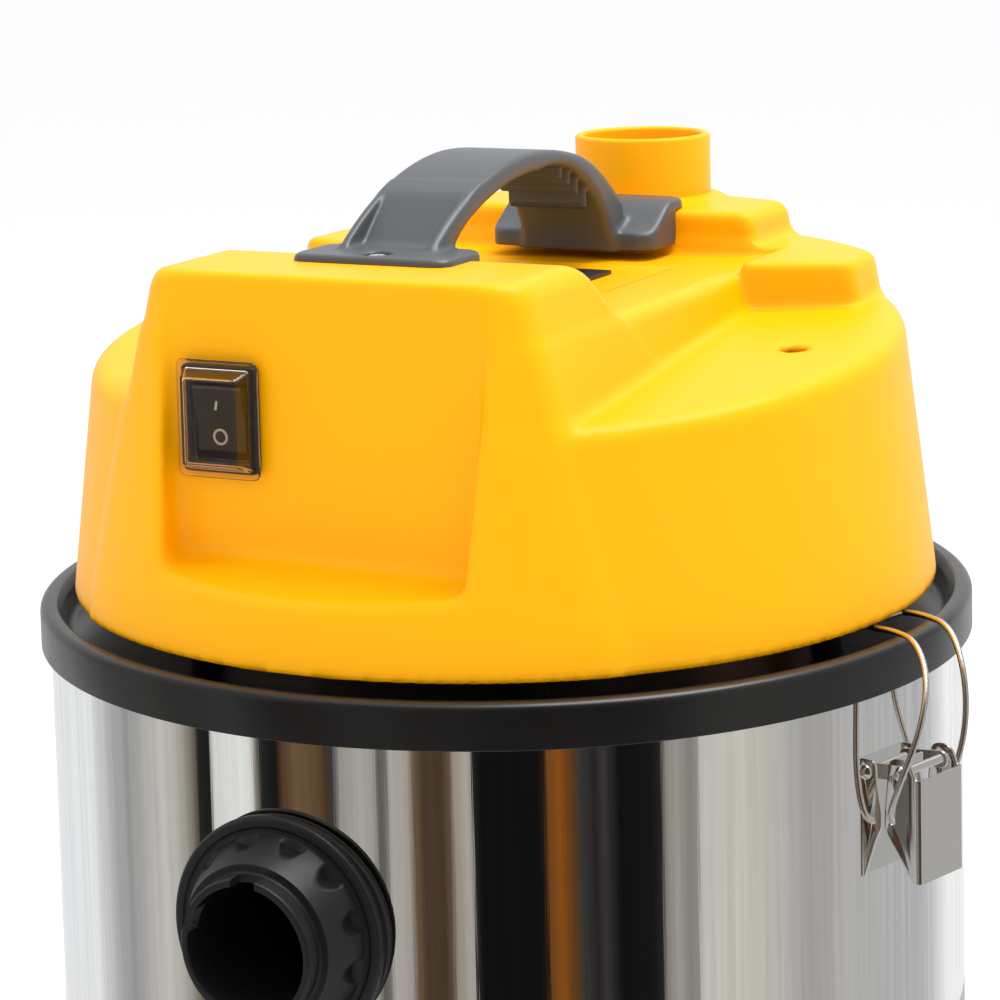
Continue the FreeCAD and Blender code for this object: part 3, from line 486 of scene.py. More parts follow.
def plastic(name, colour, roughness, grain=0.15, scale=2500, variation=0.06, dust=0.05, **plain):
    return useGroup(newMaterial(name, colour, roughness, **plain), mouldedSkin, colour, roughness,
                    Grain_Scale=scale, Grain_Depth=grain, Gloss_Variation=variation, Dust=dust)


def metal(name, colour, roughness, wave=0.02, scratches=0.1, smudges=0.05):
    return useGroup(newMaterial(name, colour, roughness, 1.0), sheetMetal, colour, roughness,
                    Wave=wave, Scratches=scratches, Smudges=smudges)


finish = {
    "yellow": plastic("YellowPlastic", (1.0, 0.44, 0.0), 0.36, 0.10, 3000, 0.08, 0.004,
                      Specular_IOR_Level=0.14),
    "grey": plastic("GreyPlastic", (0.066, 0.073, 0.081), 0.37, 0.22, 2200, 0.08, 0.03),
    "black": plastic("BlackPlastic", (0.006, 0.0062, 0.0066), 0.29, 0.16, 2600, 0.10, 0.02),
    "blackMatt": plastic("BlackMattPlastic", (0.007, 0.007, 0.0075), 0.42, 0.24, 1800, 0.10, 0.02),
    "rubber": plastic("BlackRubber", (0.018, 0.018, 0.018), 0.62, 0.35, 1500, 0.12, 0.03),
    "switch": plastic("SwitchBlack", (0.012, 0.012, 0.013), 0.30, 0.05, 3500, 0.05, 0.02),
    "rocker": plastic("RockerBlack", (0.020, 0.021, 0.023), 0.34, 0.14, 3500, 0.06, 0.02),
    "mark": plastic("SwitchMark", (0.75, 0.75, 0.72), 0.5, 0.02, 2000, 0.02, 0.0),
    "white": plastic("WhitePlastic", (0.72, 0.72, 0.69), 0.42, 0.12, 2500, 0.06, 0.05),
    "wheel": plastic("WheelGrey", (0.05, 0.052, 0.056), 0.5, 0.3, 1500, 0.12, 0.10),
    "cloth": plastic("FilterCloth", (0.66, 0.65, 0.60), 0.9, 1.0, 900, 0.05, 0.05, Sheen_Weight=0.3),
    "foam": plastic("GreyFoam", (0.10, 0.10, 0.105), 0.95, 1.0, 500, 0.05, 0.0),
    "drum": metal("MirrorSteel", (0.90, 0.90, 0.89), 0.012, 0.022, 0.006, 0.02),
    "clip": metal("ClipSteel", (0.80, 0.78, 0.75), 0.14, 0.02, 0.05, 0.10),
    "wire": metal("WireSteel", (0.70, 0.66, 0.61), 0.20, 0.0, 0.05, 0.12),
    "screw": metal("ScrewSteel", (0.62, 0.62, 0.62), 0.28, 0.0, 0.10, 0.10),
    "aluminium": metal("MotorAluminium", (0.72, 0.72, 0.72), 0.32, 0.02, 0.15, 0.12),
    "laminate": metal("MotorSteel", (0.42, 0.40, 0.39), 0.42, 0.02, 0.20, 0.20),
    "brass": metal("Brass", (0.78, 0.52, 0.22), 0.28, 0.0, 0.12, 0.10),
}


def clearCapMaterial():
    material, tree, shader = newMaterial("ClearCap", (1.0, 0.88, 0.74), 0.06,
                                         Transmission_Weight=1.0, IOR=1.46)
    noise = noiseNode(tree, stretched(tree, (1, 1, 1)), 160, 3)
    rough = mathNode(tree, "MULTIPLY_ADD", noise, 0.10, 0.02)
    tree.links.new(rough, shader.inputs["Roughness"])
    return material


finish["cap"] = clearCapMaterial()


def dress(thing, name):
    thing.data.materials.clear()
    thing.data.materials.append(finish[name])
    return thing


def fit(thing, body, look, slot, *nodes):
    dress(thing, look)
    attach(thing, body)
    if nodes:
        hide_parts(*nodes)
    return thing


# ---- yellow head cover

cover = {
    "low": 19, "radius": 161, "draft": 0.1175, "wall": 4,
    "frontTop": 148.2, "frontHalf": 72, "frontFoot": 85, "frontBack": -78, "slopeEnd": -60,
    "shoulderLow": 100, "shoulderStart": -124, "shoulderSlope": 0.0825,
    "saddleTop": 128, "saddleHalf": 77, "saddleFoot": 86,
    "stepTop": 132, "stepHalf": 117, "stepFoot": 123, "stepInner": 82, "stepFront": 47, "stepLean": 0.35,
    "rearTop": 145, "rearHalf": 66, "rearFoot": 72, "rearFront": 86,
    "panelHalf": 64, "panelLean": 0.06, "panelFace": 132.5, "panelLow": 50, "shelfLow": 38,
    "recessHalf": 48, "recessFront": -12, "recessBack": 50, "recessDeep": 1.5,
    "portCentre": 134, "portBoss": 34, "portHole": 25.5, "portRadius": 27.5, "portBore": 24,
    "portTop": 170, "portBase": 139, "portLow": 118, "dimpleRadius": 5, "dimpleSide": 119, "dimpleAlong": -4,
    "glandAngle": 30, "glandHeight": 48, "glandRadius": 8,
    "switchSide": -40, "switchHeight": 98, "cell": 2.0,
}


def coverField(x, y, z):
    c = cover
    side = np.abs(x)
    radius = np.hypot(x, y)
    skirt = (radius - (c["radius"] - c["draft"] * (z - c["low"]))) / sqrt(1 + c["draft"] ** 2)
    slant = c["shoulderLow"] + c["shoulderSlope"] * (y - c["shoulderStart"])
    form = over(skirt, (z - slant) / sqrt(1 + c["shoulderSlope"] ** 2), 7)

    def ridge(half, foot, top, edge, soft):
        flank = -plane(side, z, (half, top), (foot, c["shoulderLow"] - 4))
        return over(over(flank, z - top, edge), skirt, soft)

    front = over(ridge(c["frontHalf"], c["frontFoot"], c["frontTop"], 7, 6),
                 -plane(y, z, (c["frontBack"], c["frontTop"]), (c["slopeEnd"], c["saddleTop"])), 4)
    saddle = over(ridge(c["saddleHalf"], c["saddleFoot"], c["saddleTop"], 5, 6), y - c["rearFront"] - 10, 1)
    stepFront = c["stepFront"] + c["stepLean"] * (side - c["stepInner"])
    step = over(ridge(c["stepHalf"], c["stepFoot"], c["stepTop"], 4, 6), stepFront - y, 4)
    step = over(step, np.minimum(c["stepInner"] - 4 - side, c["rearFront"] - y), 2)
    rear = over(ridge(c["rearHalf"], c["rearFoot"], c["rearTop"], 6, 7), c["rearFront"] - y, 4)
    boss = np.hypot(x, y - c["portCentre"]) - c["portBoss"]
    boss = over(boss, z - c["rearTop"], 4)
    form = under(form, front, 4)
    form = under(form, saddle, 3.5)
    form = under(form, step, 3)
    form = under(form, rear, 5)
    form = under(form, boss, 4)
    shelf = plane(y, z, (-180, c["shelfLow"]), (-c["panelFace"], c["panelLow"]))
    half = c["panelHalf"] - c["panelLean"] * (c["frontTop"] - z)
    panel = over(over(side - half, y + c["panelFace"], 6), shelf, 6)
    form = over(form, -panel, 3.5)
    shell = over(form, -(form + c["wall"]), 0.8)
    shell = over(shell, c["low"] - z, 1.6)
    middle = (c["recessFront"] + c["recessBack"]) / 2
    recess = over(side - c["recessHalf"], np.abs(y - middle) - (c["recessBack"] - middle), 3)
    recess = over(recess, c["saddleTop"] - c["recessDeep"] - z, 0.8)
    shell = over(shell, -recess, 0.8)
    dimple = np.hypot(side - c["dimpleSide"], y - c["dimpleAlong"]) - c["dimpleRadius"]
    shell = over(shell, -over(dimple, 90 - z, 1), 1.2)
    port = over(np.hypot(x, y - c["portCentre"]) - c["portHole"], 60 - z, 1)
    shell = over(shell, -port, 0.6)
    switch = over(over(np.abs(x - c["switchSide"]) - 13, np.abs(z - c["switchHeight"]) - 17, 2), y + 110, 1)
    shell = over(shell, -switch, 0.8)
    turn = radians(c["glandAngle"])
    gland = plane(x, y, (0, 0), (sin(turn), cos(turn)))
    gland = np.hypot(gland, z - c["glandHeight"]) - c["glandRadius"]
    gland = over(gland, 90 - y, 1)
    return over(shell, -gland, 0.8)


def headCover():
    shell = moulded("head_cover_shell", coverField, (-166, -166, 16), (166, 172, 151), cover["cell"])
    outer, bore, foot = cover["portRadius"], cover["portBore"], cover["portRadius"] - 1
    top, base, low = cover["portTop"], cover["portBase"], cover["portLow"]
    port = lathe("exhaust_port", [(outer, base), (outer, top, 1.6), (bore, top, 1.6), (bore, low, 0.8),
                                  (foot, low, 0.8), (foot, base, 0.2)], 0, cover["portCentre"], segments=128)
    fit(port, "tank", "yellow", "yellow_plastic")
    fit(shell, "tank", "yellow", "yellow_plastic", "head_cover")


headCover()
print("head cover")

# ---- carrying handle

grip = {"half": 19.5, "front": -87, "footHalf": 31, "footFront": -101.5, "footBack": -71, "footTop": 151,
        "footLow": 146.9, "rearHalf": 35, "rearFront": 62, "rearBack": 98, "rearLow": 139, "rearTop": 149.5,
        "web": 4, "wall": 4, "ribs": 4, "ribStart": 22, "ribStep": 7, "screwFront": -93, "screwRear": 91,
        "cell": 1.1}


def arcField(y, z, left, right, radius):
    # signed distance outside a circle of one radius through two points, bulging upwards
    half = hypot(right[0] - left[0], right[1] - left[1]) / 2
    drop = sqrt(radius ** 2 - half ** 2)
    slope = ((right[0] - left[0]) / (2 * half), (right[1] - left[1]) / (2 * half))
    centre = ((left[0] + right[0]) / 2 + slope[1] * drop, (left[1] + right[1]) / 2 - slope[0] * drop)
    return np.hypot(y - centre[0], z - centre[1]) - radius


def gripField(x, y, z):
    g = grip
    side = np.abs(x)
    top = np.where(y < -10, arcField(y, z, (-87, 152), (-10, 177.6), 146),
                   arcField(y, z, (-10, 177.6), (55, 165.5), 170))
    top = over(top, -plane(y, z, (55, 165.5), (72, 150)), 10)
    frontArc = arcField(y, z, (-72, 152), (0, 170), 140)
    rearArc = arcField(y, z, (0, 170), (57.7, 140.6), 56)
    form = over(top, -np.where(y < 0, frontArc, rearArc), 2)
    form = over(form, side - g["half"], 3)
    form = over(form, np.where(y < 0, 148, 132.5) - z, 0.5)
    form = over(form, over(g["front"] - y, y - 72, 1), 2)
    slope = plane(y, z, (-77, 150), (-53, 171.5))
    pocket = over(over(side - g["half"] + g["wall"], 150 - z, 1), slope, 0.8)
    web = over(over(-slope, slope - g["web"], 1), over(side - g["half"] + 1, over(top, 147 - z, 1), 1), 1)
    form = under(over(form, -pocket, 1.2), web, 1)
    for number in range(g["ribs"]):
        rib = over(np.abs(y - g["ribStart"] - g["ribStep"] * number) - 0.9, side - 16.5, 1.2)
        rib = over(rib, over(-4.5 - 0.5 * number - rearArc, rearArc - 2, 1), 1.2)
        form = under(form, rib, 1.2)
    middle = (g["footFront"] + g["footBack"]) / 2
    front = over(side - g["footHalf"], np.abs(y - middle) - (g["footBack"] - middle), 7)
    front = over(over(front, z - g["footTop"], 2.5), g["footLow"] - z, 0.4)
    form = under(form, front, 2.5)
    sweep = np.clip((y - 62) / 24, 0, 1)
    rear = over(side - g["rearHalf"], over(g["rearFront"] - y, y - g["rearBack"], 1), 8)
    rear = over(rear, z - g["rearLow"] - (g["rearTop"] - g["rearLow"]) * sweep ** 2 * (3 - 2 * sweep), 2.5)
    rear = over(over(rear, 132.1 - z, 0.4), -over(86 - y, z - 145, 0.4), 0.4)
    form = under(form, rear, 3.5)
    screw = over(np.hypot(x, y - g["screwFront"]) - 5.2, 148.6 - z, 0.5)
    return over(form, -screw, 0.6)


def carryHandle():
    thing = moulded("carry_handle_shell", gripField, (-41, -107, 130), (41, 101, 181), grip["cell"])
    fit(thing, "tank", "grey", "grey_plastic", "carry_handle")
    heads = []
    for y, low in ((grip["screwFront"], 148.5), (grip["screwRear"], 149.3)):
        dome = [(0, low), (4.2, low, 0.3), (4.2, low + 1.1, 0.5), (2.8, low + 2, 1.5), (0, low + 2.2)]
        head = lathe("screw", dome, 0, y, segments=48)
        slots = []
        for turn in (0.3, 0.3 + pi / 2):
            place = Matrix.Translation((0, y, seam)) @ Matrix.Rotation(turn, 4, "Z")
            slots.append(slab("cross", (-2.4, -0.5, low + 1.1), (2.4, 0.5, low + 4), 0.1, place))
        heads.append(subtract(head, slots))
    fit(joined("handle_screw_heads", heads), "tank", "screw", "screw_steel", "handle_screws")


carryHandle()
print("carrying handle")

# ---- head plate and drum

ringSizes = {"height": 15.5, "lip": 168, "dish": 163.5, "dishTop": 5, "hub": 62, "postCircle": 128}


def headPlate():
    r = ringSizes
    rim = lathe("head_plate_rim", [
        (rimRadius, 0, 0.8), (rimRadius, r["height"], 3.2), (r["lip"], r["height"], 1.6),
        (r["lip"] - 2.5, r["height"] - 3.2, 2), (r["dish"], r["dishTop"], 2.5), (r["hub"], r["dishTop"], 1),
        (r["hub"], 2, 0.5), (r["dish"] - 3, 2, 0.5), (r["dish"] - 3, -9, 0.8), (r["dish"], -9, 0.8),
        (r["dish"] + 3, 9, 0.5), (rimRadius - 0.8, 9, 0.3), (rimRadius - 0.8, 0, 0.3)], segments=320)
    posts = []
    for number in range(6):
        turn = 2 * pi * (number + 0.5) / 6
        posts.append(lathe("post", [(0, 4), (6, 4), (6, 36, 0.8), (0, 36)], r["postCircle"] * sin(turn),
                           r["postCircle"] * cos(turn), segments=40))
    fit(joined("head_plate_moulding", [rim] + posts), "tank", "black", "black_satin", "head_plate")


tankSizes = {"floor": 80, "rise": gasketRise, "wall": 1, "corner": 8, "hole": 25,
             "inletHeight": 355, "rows": 40, "dent": 0.10}


def tankDrum():
    t = tankSizes
    top = seam + t["rise"]
    rows = [(drumRadius, t["floor"] + t["corner"] + (top - t["floor"] - t["corner"]) * n / t["rows"])
            for n in range(1, t["rows"] + 1)]
    shape = [(0, t["floor"]), (drumRadius, t["floor"], t["corner"])] + rows
    inner, bottom = drumRadius - t["wall"], t["floor"] + t["wall"]
    shape += [(inner, top), (inner, bottom, t["corner"] - t["wall"]), (0, bottom)]

    def rolled(radius, height, turn):      # sheet that was rolled and welded is never quite round
        if radius < drumRadius - 2:
            return radius
        wave = sin(3 * turn + 0.6) * 0.4 + sin(7 * turn + 1.1) * 0.25 + sin(11 * turn + height / 90) * 0.2
        return radius - t["dent"] * (1 + wave)

    drum = lathe("drum_shell", shape, base=0, segments=288, shape=rolled)
    hole = lathe("hole", [(0, 130), (t["hole"], 130), (t["hole"], 185), (0, 185)], segments=64,
                 frameOf=Matrix.Translation((0, 0, t["inletHeight"])) @ Matrix.Rotation(pi / 2, 4, "X"))
    subtract(drum, [hole])
    sharpen(drum, 25)
    fit(drum, "tank", "drum", "mirror_steel", "drum")


headPlate()
tankDrum()
print("head plate and drum")

# ---- hose inlet

inletSizes = {"flange": 39.5, "face": 176, "collar": 33, "collarFace": 189, "mouth": 24.5, "bore": 21.75,
              "reach": 196, "scallops": 12, "scallopRadius": 6, "tail": 150}


def hoseInlet():
    n = inletSizes
    outwards = Matrix.Translation((0, 0, tankSizes["inletHeight"])) @ Matrix.Rotation(pi / 2, 4, "X")
    offset = n["collar"] + n["scallopRadius"] * 0.55

    def scalloped(radius, height, turn):
        if not (n["mouth"] + 1 < radius < n["collar"] + 0.5 and height > n["face"] + 0.6):
            return radius
        step = 2 * pi / n["scallops"]
        away = abs(((turn / step) % 1) - 0.5) * step
        across = offset * sin(away)
        if abs(across) >= n["scallopRadius"]:
            return radius
        edge = offset * cos(away) - sqrt(n["scallopRadius"] ** 2 - across ** 2)
        return min(radius, edge)

    steps = [(n["collar"] - (n["collar"] - n["mouth"] - 3) * k / 8, n["face"] + 0.8 +
              (n["collarFace"] - n["face"] - 0.8) * k / 8) for k in range(9)]
    body = lathe("inlet_socket_body", [
        (n["bore"], n["tail"], 0.4), (n["mouth"], n["tail"], 0.4), (n["mouth"], 172.6),
        (n["flange"], 172.6, 0.5), (n["flange"], n["face"], 1.6), (n["flange"] - 3.4, n["face"], 0.8),
        (n["flange"] - 4.2, n["face"] - 0.7, 0.8), (n["collar"] + 0.6, n["face"] - 0.7, 0.6)] + steps +
        [(n["mouth"], n["collarFace"], 1.0), (n["mouth"], n["reach"], 0.9),
         (n["bore"] + 0.2, n["reach"], 0.5), (n["bore"], n["reach"] - 2, 0.4)],
        frameOf=outwards, segments=384, shape=scalloped)
    notch = slab("notch", (-4.5, -26, n["reach"] - 6), (4.5, -20, n["reach"] + 4), 0.4,
                 outwards @ Matrix.Rotation(radians(-112), 4, "Z"))
    notchTop = slab("notch", (-4.5, 20, n["reach"] - 6), (4.5, 26, n["reach"] + 4), 0.4, outwards)
    subtract(body, [notch, notchTop])
    sharpen(body, 38)
    fit(body, "tank", "blackMatt", "black_plastic", "inlet_socket")


hoseInlet()
print("hose inlet")

# ---- switch under its clear cap

switchSizes = {"side": -40, "height": 98, "face": -132.5, "rockerWide": 19, "cell": 0.5}


def onPanel(x, y, z):
    return x - switchSizes["side"], y - switchSizes["face"], z - switchSizes["height"]


def bezelField(x, y, z):
    x, y, z = onPanel(x, y, z)
    side, rise = np.abs(x), np.abs(z)
    frameEdge = over(side - 14.5, rise - 18.5, 2)
    form = over(over(frameEdge, -3 - y, 0.8), y - 0.2, 0.3)
    case = over(over(side - 12.8, rise - 16.8, 0.8), over(-1 - y, y - 12, 0.5), 0.5)
    form = under(form, case, 0.3)
    lead = over(side - 11.2 + 0.35 * (y + 3), rise - 15.0 + 0.35 * (y + 3), 1.2)
    form = over(form, -over(lead, y + 1.8, 0.3), 0.4)
    well = over(over(side - 10, rise - 14, 0.8), y - 10, 0.5)
    return over(form, -well, 0.4)


def capField(x, y, z):
    x, y, z = onPanel(x, y, z)
    y = y + 3
    side, rise = np.abs(x), np.abs(z)
    flange = over(over(over(side - 16, rise - 20.5, 3), -1.5 - y, 0.6), y, 0.3)
    lean = 0.40 * (-y)
    hood = over(over(side - 13.8 + lean, rise - 18.2 + lean, 0.8), -7.5 - y, 0.6)
    hood = over(hood, y, 0.3)
    form = under(flange, hood, 0.7)
    hollow = over(over(side - 12.7 + lean, rise - 17.1 + lean, 0.5), -6.6 - y, 0.5)
    return over(form, -hollow, 0.3)


def switch():
    w = switchSizes
    x, y, z = w["side"], w["face"], w["height"]
    body = moulded("switch_bezel", bezelField, (x - 16, y - 5, z - 20), (x + 16, y + 14, z + 20), w["cell"])
    rear = [slab("case", (-12.8, 9, -16.8), (12.8, 25.9, 16.8), 0.8, Matrix.Translation((x, y, seam + z)))]
    rear += [slab("blade", (-3.15, 25, side * 9 - 0.4), (3.15, 35, side * 9 + 0.4), 0.15,
                  Matrix.Translation((x, y, seam + z))) for side in (-1, 1)]
    fit(joined("switch_housing", [body] + rear), "tank", "switch", "switch_black", "switch_body")
    pivot = Matrix.Translation((x, y + 0.5, seam + z)) @ Matrix.Rotation(-pi / 2, 4, "Z")
    outline = [(6.2, 12.2, 1.2), (2.9, -0.5, 3), (2.4, -12, 1.0), (-5, -9.4, 1), (-5, 9.4, 1)]
    paddle = padded("rocker_paddle", outline, w["rockerWide"], pivot, bevel=0.7)
    pins = lathe("pins", [(0, -11.5), (1.2, -11.5, 0.2), (1.2, 11.5, 0.2), (0, 11.5)], segments=24,
                 frameOf=Matrix.Translation((x, y + 0.5, seam + z)) @ Matrix.Rotation(pi / 2, 4, "Y"))
    fit(joined("switch_rocker_paddle", [paddle, pins]), "rocker", "rocker", "rocker_black", "switch_rocker")
    upper = atan2(3.3, 12.7)
    face = Matrix.Translation((x, y + 0.5 - 4.7, seam + z + 6)) @ Matrix.Rotation(-upper, 4, "X")
    bar = slab("mark_on", (-0.45, -0.16, -2.6), (0.45, 0.1, 2.6), 0.05, face)
    fit(bar, "rocker", "mark", "rocker_black")
    face = Matrix.Translation((x, y + 0.5 - 2.68, seam + z - 6.3)) @ Matrix.Rotation(0.045, 4, "X")
    mark = lathe("mark_off", [(2.1, -0.1), (2.9, -0.1), (2.9, 0.16), (2.1, 0.16)], segments=48,
                 frameOf=face @ Matrix.Rotation(pi / 2, 4, "X"))
    fit(mark, "rocker", "mark", "rocker_black")
    cap = moulded("switch_clear_cap", capField, (x - 18, y - 11, z - 22), (x + 18, y - 1, z + 22), w["cell"])
    fit(cap, "tank", "cap", "clear_cap", "switch_cap")


switch()
print("switch")

# ---- butterfly clips

# Places are (outwards from the drum's axis, height above the seam).
clipSizes = {"half": 12.5, "thick": 1.0, "wire": 1.1, "bend": 1.8, "domeRadius": 2.6, "pin": 1.5,
             "leverPin": (191.5, -21), "platePin": (177, -23), "bailHole": (188, -38.3),
             "hangHole": (179.8, -39.6), "pinHole": 1.55, "wireHole": 1.2}


# A U of folded sheet, trimmed to a side outline; back is where its closed side stands.
def foldedChannel(name, back, front, low, high, outline, place):
    c = clipSizes
    inward = 1 if front > back else -1
    inner = back + inward * c["thick"]
    reach = c["half"] - c["thick"]
    bend, tight = c["bend"], c["bend"] - c["thick"]
    loop = rounded([(back, -c["half"], bend), (back, c["half"], bend), (front, c["half"]), (front, reach),
                    (inner, reach, tight), (inner, -reach, tight), (front, -reach), (front, -c["half"])],
                   True, 8)
    count = len(loop)
    verts = [(p.x * mm, p.y * mm, z * mm) for z in (low, high) for p in loop]
    faces = [tuple(range(count)), tuple(range(2 * count - 1, count - 1, -1))]
    faces += [(i, (i + 1) % count, (i + 1) % count + count, i + count) for i in range(count)]
    channel = meshObject(name, verts, faces)
    tidyMesh(channel)
    trim = padded("trim", outline, 3 * c["half"], Matrix.Identity(4))
    boolean = channel.modifiers.new("Trim", "BOOLEAN")
    boolean.operation = "INTERSECT"
    boolean.solver = "EXACT"
    boolean.object = trim
    applied(channel)
    bpy.data.objects.remove(trim)
    bevelled(channel, 0.22, 2, 40)
    sharpen(channel, 35)
    channel.data.transform(place)
    return channel


def acrossClip(spot, place):
    return place @ Matrix.Translation((spot[0], 0, spot[1])) @ Matrix.Rotation(pi / 2, 4, "X")


def pinWithHeads(spot, place):
    c = clipSizes
    dome, pin = c["domeRadius"], c["pin"]
    half = [(pin, 12.6), (dome, 12.6), (dome, 13.2, 0.6), (1.2, 14.5, 0.6), (0, 14.6)]
    other = [(corner[0], -corner[1], *corner[2:]) for corner in reversed(half)]
    return lathe("pin", other + half, segments=40, frameOf=acrossClip(spot, place))


def clipHole(spot, radius, place):
    return lathe("hole", [(0, -20), (radius, -20), (radius, 20), (0, 20)], segments=32,
                 frameOf=acrossClip(spot, place))


def clip(side, angle):
    c = clipSizes
    place = Matrix.Translation((0, 0, seam)) @ Matrix.Rotation(radians(angle), 4, "Z")
    metric = Matrix.Scale(mm, 4) @ place @ Matrix.Scale(1 / mm, 4)
    lever = foldedChannel("clip_lever_sheet_" + side, 199.5, 184, -58.5, -16, [
        (200, -22.2), (200, -58, 0.3), (196.2, -58, 1.5), (188, -46.5, 6), (184.6, -41.5, 3),
        (184.9, -34, 8),
        (186.1, -23, 3), (186.8, -16.2, 4), (195, -16.2, 4.2), (197.4, -22.2, 1)], metric)
    subtract(lever, [clipHole(c["leverPin"], c["pinHole"], place),
                     clipHole(c["bailHole"], c["wireHole"], place)])
    fit(lever, "clip_lever_" + side, "clip", "clip_steel", "clip_lever_" + side)

    plate = foldedChannel("clip_plate_sheet_" + side, 173.5, 184, -60, -18, [
        (173, -19.2), (173, -60, 0.3), (176, -60, 1), (181, -46, 6), (183.3, -41, 3), (183.2, -36, 6),
        (181.3, -25, 2), (181, -18.6, 3.6), (176, -18.6, 1)], metric)
    subtract(plate, [clipHole(c["platePin"], c["pinHole"], place),
                     clipHole(c["hangHole"], c["wireHole"], place)])
    fit(plate, "tank", "clip", "clip_steel", "clip_plate_" + side)

    outline = [(174.8, -25.5, 2), (194.3, -24, 2.6), (194.3, -18, 2.6), (174.8, -20.5, 2)]
    arms = [padded("arm", outline, 1.2, place, along, bevel=0.2) for along in (10.6, -10.6)]
    web = slab("web", (183.4, -10.5, -25), (184.6, 10.5, -20), 0.3, place)
    rod = pinWithHeads(c["platePin"], place)
    link = joined("clip_link_" + side + "_arms", arms + [web, rod])
    fit(link, "tank", "clip", "clip_steel", "clip_link_" + side)
    pin = pinWithHeads(c["leverPin"], place)
    pin.name = "clip_lever_pin_heads_" + side
    fit(pin, "tank", "clip", "clip_steel", "clip_lever_pin_" + side)

    hang = drumRadius + 1.2
    leg = [(179.8, 10.8, -39.6), (179.8, 16.4, -39.8), (175.5, 15.9, -25), (hang + 0.4, 11, -5),
           (hang, 10, 5)]
    both = leg + [(out, -along, low) for out, along, low in reversed(leg)]
    hanger = wireRod("clip_hanger_wire_" + side, both, c["wire"], place)
    fit(hanger, "tank", "wire", "wire_steel", "clip_hanger_" + side)

    near = [(188, -10.6, -38.3), (188, -16, -38.3), (194, -15.8, -22), (198.5, -11, -6), (195, -1, 9),
            (183, 9, 18.6), (169, 15, 18.7), (157.5, 18, 17.3), (152.7, 20, 17.3)]
    far = [(152.7, 40, 17.3), (153.5, 42, 17.5), (164, 39.5, 18.6), (180, 33.5, 18.4), (192.5, 24.5, 4),
           (196, 18.5, -16), (188, 16, -38.3), (188, 10.6, -38.3)]
    bail = wireRod("clip_bail_wire_" + side, near + far, c["wire"], place)
    fit(bail, "clip_bail_" + side, "wire", "wire_steel", "clip_bail_" + side)


clipTurn = -16.7      # degrees round the drum, from +X
clip("right", clipTurn)
clip("left", clipTurn + 180)
for thing in bpy.data.objects:      # the drum is meant to mirror the surroundings, not its own clips
    if thing.name.startswith("clip_"):
        thing.visible_glossy = False
print("clips")

# ---- softened copies of machined or moulded CAD parts


def softened(node, body, look, slot, width, angle=28):
    source = frame["nodes"][node]
    thing = bpy.data.objects.new(node + "_finished", source.data.copy())
    scene.collection.objects.link(thing)
    tidyMesh(thing)
    mesh = bmesh.new()
    mesh.from_mesh(thing.data)
    bmesh.ops.dissolve_limit(mesh, angle_limit=radians(0.8), verts=mesh.verts, edges=mesh.edges)
    mesh.to_mesh(thing.data)
    mesh.free()
    bevelled(thing, width, 3, angle)
    thing.data.polygons.foreach_set("use_smooth", [True] * len(thing.data.polygons))
    sharpen(thing, 40)
    return fit(thing, body, look, slot, node)


carriageSizes = {"edge": 1.6, "forkEdge": 0.6, "wheel": 25, "wide": 20, "trail": 20,
                 "casterX": 148, "casterY": 152}


def casterWheel(spot, x, y):
    w = carriageSizes
    turn = Matrix.Rotation(0 if y > 0 else pi, 4, "Z")
    stem = Matrix.Translation((w["casterX"] * x, w["casterY"] * y, 0)) @ turn
    hub = stem @ Matrix.Translation((0, w["trail"], w["wheel"])) @ Matrix.Rotation(pi / 2, 4, "Y")
    half = w["wide"] / 2
    profile = [(3.05, -half), (8.6, -half, 1), (9.2, -7.2, 0.8), (18.6, -7.2, 1), (19.4, -half, 0.7),
               (21, -half, 0.5), (w["wheel"], -half + 3, 2.5), (w["wheel"], half - 3, 2.5), (21, half, 0.5),
               (19.4, half, 0.7), (18.6, 7.2, 1), (9.2, 7.2, 0.8), (8.6, half, 1), (3.05, half)]
    wheel = lathe("caster_wheel_moulding_" + spot, profile, segments=144, frameOf=hub)
    fit(wheel, "wheel_" + spot, "wheel", "wheel_grey", "caster_wheel_" + spot)


def carriage():
    softened("base_carriage", "tank", "blackMatt", "black_plastic", carriageSizes["edge"])
    corners = (("front_left", -1, -1), ("front_right", 1, -1), ("rear_left", -1, 1), ("rear_right", 1, 1))
    for spot, x, y in corners:
        softened("caster_fork_" + spot, "swivel_" + spot, "blackMatt", "black_plastic",
                 carriageSizes["forkEdge"])
        softened("caster_axle_" + spot, "swivel_" + spot, "screw", "screw_steel", 0.5)
        casterWheel(spot, x, y)


carriage()
softened("vent_grille", "tank", "blackMatt", "black_plastic", 0.35)
softened("cable_gland", "tank", "rubber", "black_rubber", 0.5)
softened("inlet_gasket", "tank", "rubber", "black_rubber", 0.4)
print("carriage and fittings")

# ---- finishes for the parts that stay as they are

looks = {
    "yellow_plastic": "yellow", "grey_plastic": "grey", "black_plastic": "blackMatt",
    "black_satin": "black", "black_rubber": "rubber", "switch_black": "switch",
    "rocker_black": "rocker", "clear_cap": "cap", "filter_cloth": "cloth", "grey_foam": "foam",
    "white_plastic": "white", "motor_aluminium": "aluminium", "motor_steel": "laminate",
    "brass": "brass", "wheel_grey": "wheel", "screw_steel": "screw", "wire_steel": "wire",
    "clip_steel": "clip", "mirror_steel": "drum",
}
slotOf = {entry["node"]: entry["material_slot"] for entry in frame["record"]["subparts"]}
for node, thing in frame["nodes"].items():
    thing.data.materials.clear()
    thing.data.materials.append(finish[looks[slotOf[node]]])

# ---- floor, light and camera

studio = {"floor": (0.97, 0.97, 0.97), "paintedFloorReflection": (0.34, 0.34, 0.35), "world": 1.0,
          "key": 34, "fill": 4, "radius": 0.78, "cardTop": 1.6}


